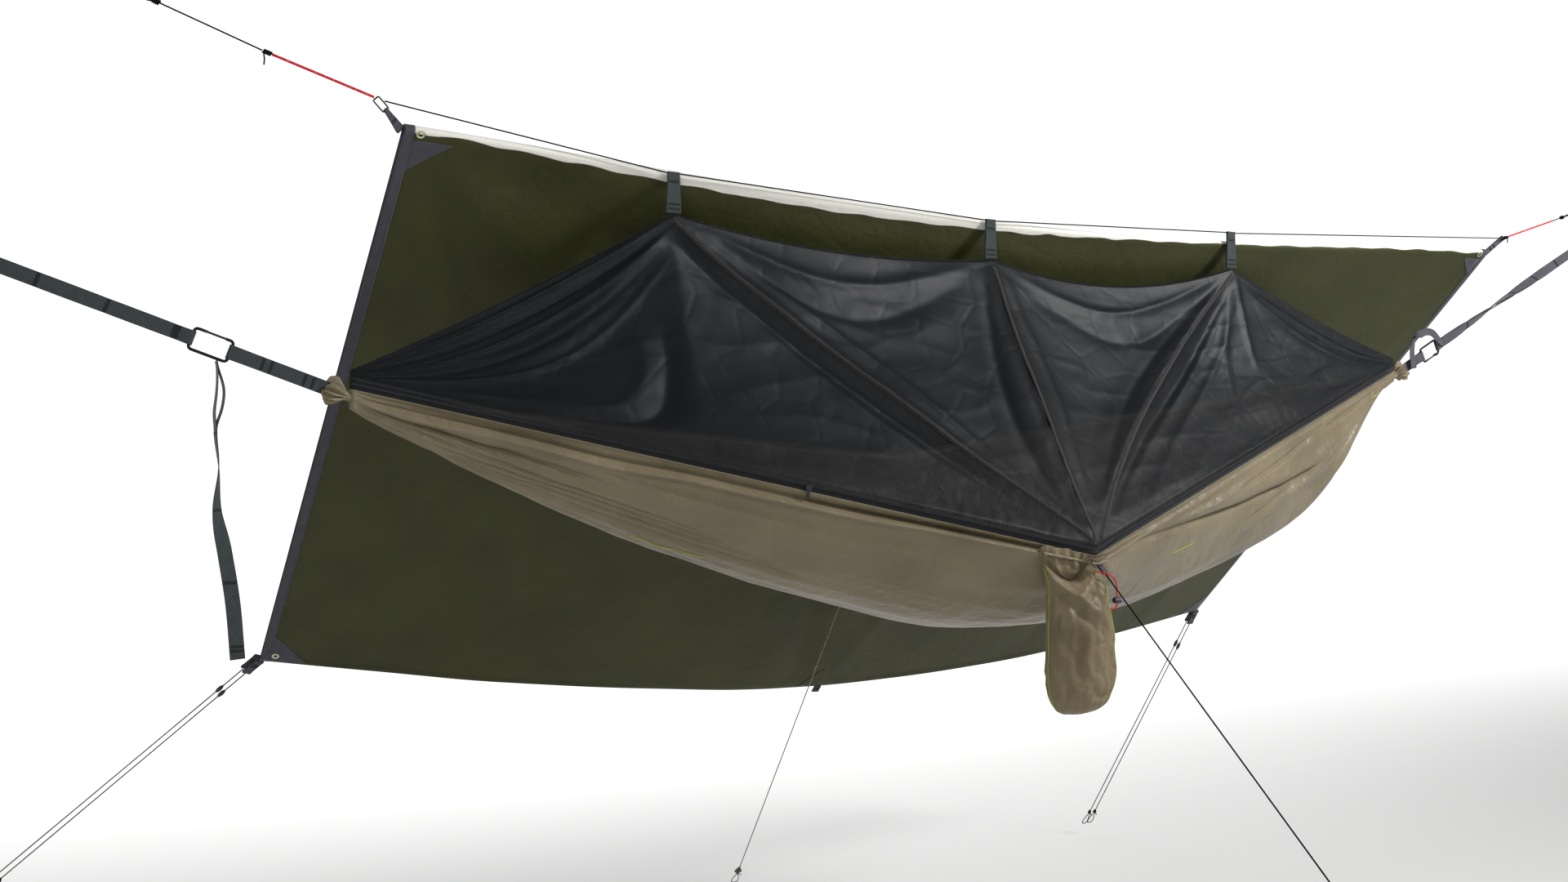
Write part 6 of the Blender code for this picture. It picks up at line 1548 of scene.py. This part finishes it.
def tarpTrim():
    margin = tarp["binding"] / tarp["ridge"]
    edges = {"left": margin, "right": 1 - margin}
    patches = []
    for name, (place, down, runAlong, runDown) in tarpPatches.items():
        for layer in (0, 1):
            patches.append(tarpPatch("patch" + name + str(layer), (edges.get(place, place), down),
                                     (runAlong / tarp["ridge"], runDown), layer,
                                     oliveTarp if name.startswith("Mid") else greyBinding))
    piece = joinPieces("tarpPatches", patches)
    long, tall = np.linspace(margin + 0.002, 1 - margin - 0.002, 300), np.linspace(0.01, 0.99, 160)
    lines = []
    for layer in (0, 1):
        lines += [tarpLine(long, np.full(300, down), layer, 0.0007) for down in (0.9905, 0.9960)]
        lines += [tarpLine(np.full(160, inset), tall, layer, 0.0014) for inset in (margin * 0.82, 1 - margin * 0.82)]
    for made in (piece, stitchPiece("tarpStitches", lines, "tarp", blackThread)):
        dress(made, "root")


tarpTrim()
print("tarp made")


# Stuff sack sewn to the near rim, drawn in at its mouth

sack = {"hinge": (1.943, -0.390573, -0.509941), "width": 0.134, "depth": 0.062, "length": 0.322, "cloth": 0.0012,
        "mouthDrop": 0.020, "channel": 0.13, "slope": -0.22835, "turn": -0.29321, "off": 0.0007, "around": 144,
        "flat": (0.34, 0.37), "radius": 0.045, "seams": (135, 75), "seamFrom": 26, "seamOff": 0.0006,
        "stitchRows": (0.028, 0.085), "stitchOff": 0.0004}
# how wide the sack's straight left side stays towards its mouth
sackLeftSide = ((0.0, 0.97), (0.06, 0.94), (0.13, 0.92), (0.25, 0.92), (0.45, 0.96), (0.65, 1.0), (0.80, 0.97),
                (0.90, 0.84), (0.965, 0.58), (0.995, 0.22))
# folds of the sack: turns round it in radians and shares of the way down, half width and height
sackFolds = (
    (((3.35, 0.10), (4.00, 0.20), (5.20, 0.40)), 0.010, 0.0078),
    (((3.30, 0.18), (4.00, 0.30), (5.10, 0.50)), 0.009, -0.0065),
    (((5.60, 0.12), (5.10, 0.24), (4.30, 0.34)), 0.008, -0.0065),
    (((4.90, 0.42), (4.60, 0.58), (4.70, 0.78)), 0.009, 0.0065),
    (((4.40, 0.52), (4.35, 0.66), (4.50, 0.80)), 0.007, -0.0052),
    (((4.90, 0.86), (5.40, 0.88), (5.90, 0.84)), 0.006, -0.0065),
    (((3.40, 0.62), (3.90, 0.74), (4.20, 0.88)), 0.010, -0.0052),
)
# share of the way down, width and depth
sackSections = ((0.0, 0.60, 0.42), (0.06, 0.52, 0.30), (0.13, 0.66, 0.62), (0.25, 0.80, 0.86), (0.45, 0.93, 0.98),
                (0.65, 1.0, 1.0), (0.80, 0.97, 0.98), (0.90, 0.84, 0.84), (0.965, 0.58, 0.56), (0.995, 0.22, 0.22))


def sackFabric(share2, angle2, body):
    # pleats drawn in by the cord, loose folds that fall from them, and a soft crumple
    mouth = np.exp(-((share2 - 0.06) / 0.05) ** 2)
    fall = np.exp(-np.maximum(share2 - 0.05, 0) / 0.20) * smoothStep(0.0, 0.05, share2 + 0.02)
    pleats = 1 - 2 * np.abs(np.sin(8.5 * angle2 + 1.2 * np.sin(2 * angle2))) ** 0.7
    fine = np.sin(19 * angle2 + 3 * np.sin(angle2) + share2 * 8)
    swing = 7 * angle2 + 1.7 + 2.0 * latticeNoise(share2 * 5, angle2 * 1.3, 101)
    height = 0.0026 * mouth * pleats + 0.0024 * fall * np.sin(swing) + 0.0007 * fine * (mouth + 0.3)
    height += body * (0.0020 * latticeNoise(share2 * 7, angle2 * 2.2, 102)
                      + 0.0012 * latticeNoise(share2 * 17, angle2 * 6, 103))
    height += 0.0012 * body * (1 - 2 * np.abs(latticeNoise(share2 * 12 + angle2, angle2 * 2.5, 104)) ** 0.6)
    radius, length = sack["radius"], sack["length"]
    for line, width, size in sackFolds:
        flat = [(turn * radius, down * length) for turn, down in line]
        height += foldHeight(angle2 * radius, share2 * length, flat, width, size)
    return height - 0.0016 * crease(np.abs(np.cos(angle2)) - 1.0, 0.010) * body


def sackRings(inset):
    share = np.concatenate([np.linspace(0, 0.14, 34), np.linspace(0.14, 0.9, 86)[1:],
                            0.9 + 0.095 * np.sin(np.linspace(0, math.pi / 2, 22))[1:]])
    angle = np.linspace(0, 2 * math.pi, sack["around"] + 1)[:-1]
    share2, angle2 = np.meshgrid(share, angle, indexing="ij")
    wide = readTable([(s, w) for s, w, d in sackSections], share2)
    deep = readTable([(s, d) for s, w, d in sackSections], share2)
    wide = wide + (readTable(sackLeftSide, share2) - wide) * np.clip(-2 * np.cos(angle2), 0, 1)
    height = sackFabric(share2, angle2, smoothStep(0.10, 0.25, share2))
    x = (sack["width"] / 2 * wide - inset + height * 0.8) * np.cos(angle2)
    y = -sack["depth"] / 2 * deep + (sack["depth"] / 2 * deep - inset + height) * np.sin(angle2)
    front = (1 - np.sin(angle2)) / 2
    lip = np.maximum(0.0, 1 - share2 / sack["channel"])
    # the front lip droops open between its two corners
    droop = 0.040 * np.exp(-((angle2 - 4.45) / 0.62) ** 2) * np.maximum(0.0, 1 - share2 / 0.27)
    z = (-sack["length"] * share2 - np.where(share2 < 0.5, 0.0, -inset) - sack["mouthDrop"] * front * lip
         + sack["slope"] * x * lip - droop)
    z += 0.0018 * np.sin(8.5 * angle2) * smoothStep(0.03, 0.0, share2)
    rings = np.stack([x, y - sack["off"] + sack["turn"] * x, z], axis=-1) + np.array(sack["hinge"])
    return rings, share, angle


def makeSack():
    outer, share, angle = sackRings(0.0)
    inner = sackRings(sack["cloth"])[0]
    rows, around = outer.shape[:2]
    shift, last = rows * around, (rows - 1) * around
    faces = []
    for k in range(around):
        n = (k + 1) % around
        faces.append((k, shift + k, shift + n, n))
        for a in range(0, last, around):
            b = a + around
            faces.append((a + k, a + n, b + n, b + k))
            faces.append((shift + a + k, shift + b + k, shift + b + n, shift + a + n))
    faces.append(tuple(last + k for k in range(around)))
    faces.append(tuple(shift + last + around - 1 - k for k in range(around)))
    points = np.concatenate([outer.reshape(-1, 3), inner.reshape(-1, 3)])
    uvs = np.stack(np.broadcast_arrays(angle[None] * 0.05, share[:, None] * sack["length"]), axis=-1).reshape(-1, 2)
    piece = turnOutwards(meshPiece("stuffSack", points, faces, sackNylon, np.concatenate([uvs, uvs])))
    dress(piece, "sack_body", "stuff_sack")
    # lime tape in both side seams, and two rows of stitches round the channel
    seams = []
    for k in sack["seams"]:
        line = outer[sack["seamFrom"]:, k]
        out = unit(line - outer[sack["seamFrom"]:].mean(axis=1))
        path = resample((line + out * sack["seamOff"])[::3], 0.004)
        seams.append(sweep("sackSeam" + str(k), path, *pathFrames(path, across), circle(pipingRadius, 8), limePiping))
    piping = joinPieces("sackPiping", seams)
    lifted = outer + unit(outer - outer.mean(axis=1, keepdims=True)) * sack["stitchOff"]
    rings = [lifted[int(np.argmin(np.abs(share - place)))] for place in sack["stitchRows"]]
    stitches = stitchPiece("sackStitches", [np.vstack([ring, ring[:1]]) for ring in rings], "zip", paleThread)
    for made in (piping, stitches):
        dress(made, "sack_body")


makeSack()
print("sack made")

# Spring of the cord lock, which shortens as its button goes in

lockSpring = {"start": (2.0136, -0.44175, -0.60830), "run": 0.0072, "radius": 0.0034, "wire": 0.0006, "turns": 4,
              "pointsATurn": 24, "pressed": 0.60}


def makeLockSpring():
    share = np.linspace(0, 1, lockSpring["pointsATurn"] * lockSpring["turns"] + 1)
    angle = 2 * math.pi * lockSpring["turns"] * share
    coil = np.stack([lockSpring["run"] * share, lockSpring["radius"] * np.cos(angle),
                     lockSpring["radius"] * np.sin(angle)], axis=-1)
    path = np.array(lockSpring["start"]) + coil
    piece = sweep("lockSpring", path, *pathFrames(path), circle(lockSpring["wire"] / 2, 8), drawnSteel)
    dress(piece, "sack_body", "cord_lock_spring")
    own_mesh(piece)


makeLockSpring()
print("cord lock's spring made")

# Hardware keeps the CAD's own meshes, with finishes of its own

hardFinishes = {anodised: ("left_carabiner", "right_carabiner", "left_gate", "right_gate", "left_ridge_link"),
                drawnSteel: ("left_gate_pin", "right_gate_pin"),
                pressedBrass: ("left_ridge_grommet", "right_ridge_grommet", "left_corner_grommet"),
                blackAcetal: ("zip_slider", "cord_lock_body", "left_adjuster_inner", "left_adjuster_outer",
                              "right_adjuster_inner", "right_adjuster_outer", "far_adjuster"),
                greyAcetal: ("cord_lock_button",)}
for finish, nodes in hardFinishes.items():
    for node in nodes:
        piece = bpy.data.objects[node]
        piece.data.materials.clear()
        piece.data.materials.append(finish)
print("hardware finished")


# Floor, lights and the last steps

# a sweep large enough for a camera on any side of the hammock to stand on it
studio = {"floor": -1.684, "near": -60.0, "far": 32.0, "middle": 2.0, "half": 90.0, "rise": 42.0, "bend": 7.0,
          "world": 0.15, "aim": (2.0, 0.2, -0.3),
          "lights": {"keyRight": ((4.6, -2.7, 2.2), 175.0, 0.8), "lowRight": ((4.6, -3.2, 0.2), 30.0, 0.8),
                     "fillFront": ((-1.5, -4.2, 0.6), 58.0, 1.6), "backTop": ((3.0, 3.4, 3.2), 60.0, 3.0)}}


def makeStage():
    floor, far, bend = studio["floor"], studio["far"], studio["bend"]
    rows = [(studio["near"], floor), (far - bend, floor)]
    for k in range(1, 13):
        angle = math.pi / 2 * k / 12
        rows.append((far - bend + bend * math.sin(angle), floor + bend * (1 - math.cos(angle))))
    rows.append((far, studio["rise"]))
    points = [(x, y, z) for y, z in rows
              for x in (studio["middle"] - studio["half"], studio["middle"] + studio["half"])]
    faces = [(2 * k, 2 * k + 1, 2 * k + 3, 2 * k + 2) for k in range(len(rows) - 1)]
    # Pale seamless paper that glows by its own emission, a painted light: faintly near the hammock and strongly towards
    # the back
    paper, tree, shader = startFinish("paleSeamlessPaper", {"Base Color": "#C6C6C5", "Roughness": 0.9,
                                                            "Emission Color": "#FFFFFF"})
    place = addNode(tree, "ShaderNodeTexCoord").outputs["Object"]
    parts = addNode(tree, "ShaderNodeSeparateXYZ", None, {"Vector": place})
    glow = addNode(tree, "ShaderNodeMapRange", {"interpolation_type": "SMOOTHSTEP", "From Min": 0.2, "From Max": 5.5,
                                                "To Min": 0.14, "To Max": 0.88}, {"Value": parts.outputs["Y"]})
    tree.links.new(glow.outputs["Result"], shader.inputs["Emission Strength"])
    meshPiece("studioFloor", points, faces, paper)
    world = bpy.data.worlds.new("softStudio")
    world.use_nodes = True
    setValues(world.node_tree.nodes["Background"], {"Color": "#FFFFFF", "Strength": studio["world"]})
    bpy.context.scene.world = world
    for name, (place, power, size) in studio["lights"].items():
        data = bpy.data.lights.new(name, "AREA")
        data.energy, data.size = power, size
        lamp = newObject(name, data)
        lamp.location = place
        lamp.rotation_euler = (Vector(studio["aim"]) - Vector(place)).to_track_quat("-Z", "Y").to_euler()


makeStage()
bpy.context.scene.view_settings.view_transform = "Standard"
print("stage and lights made")
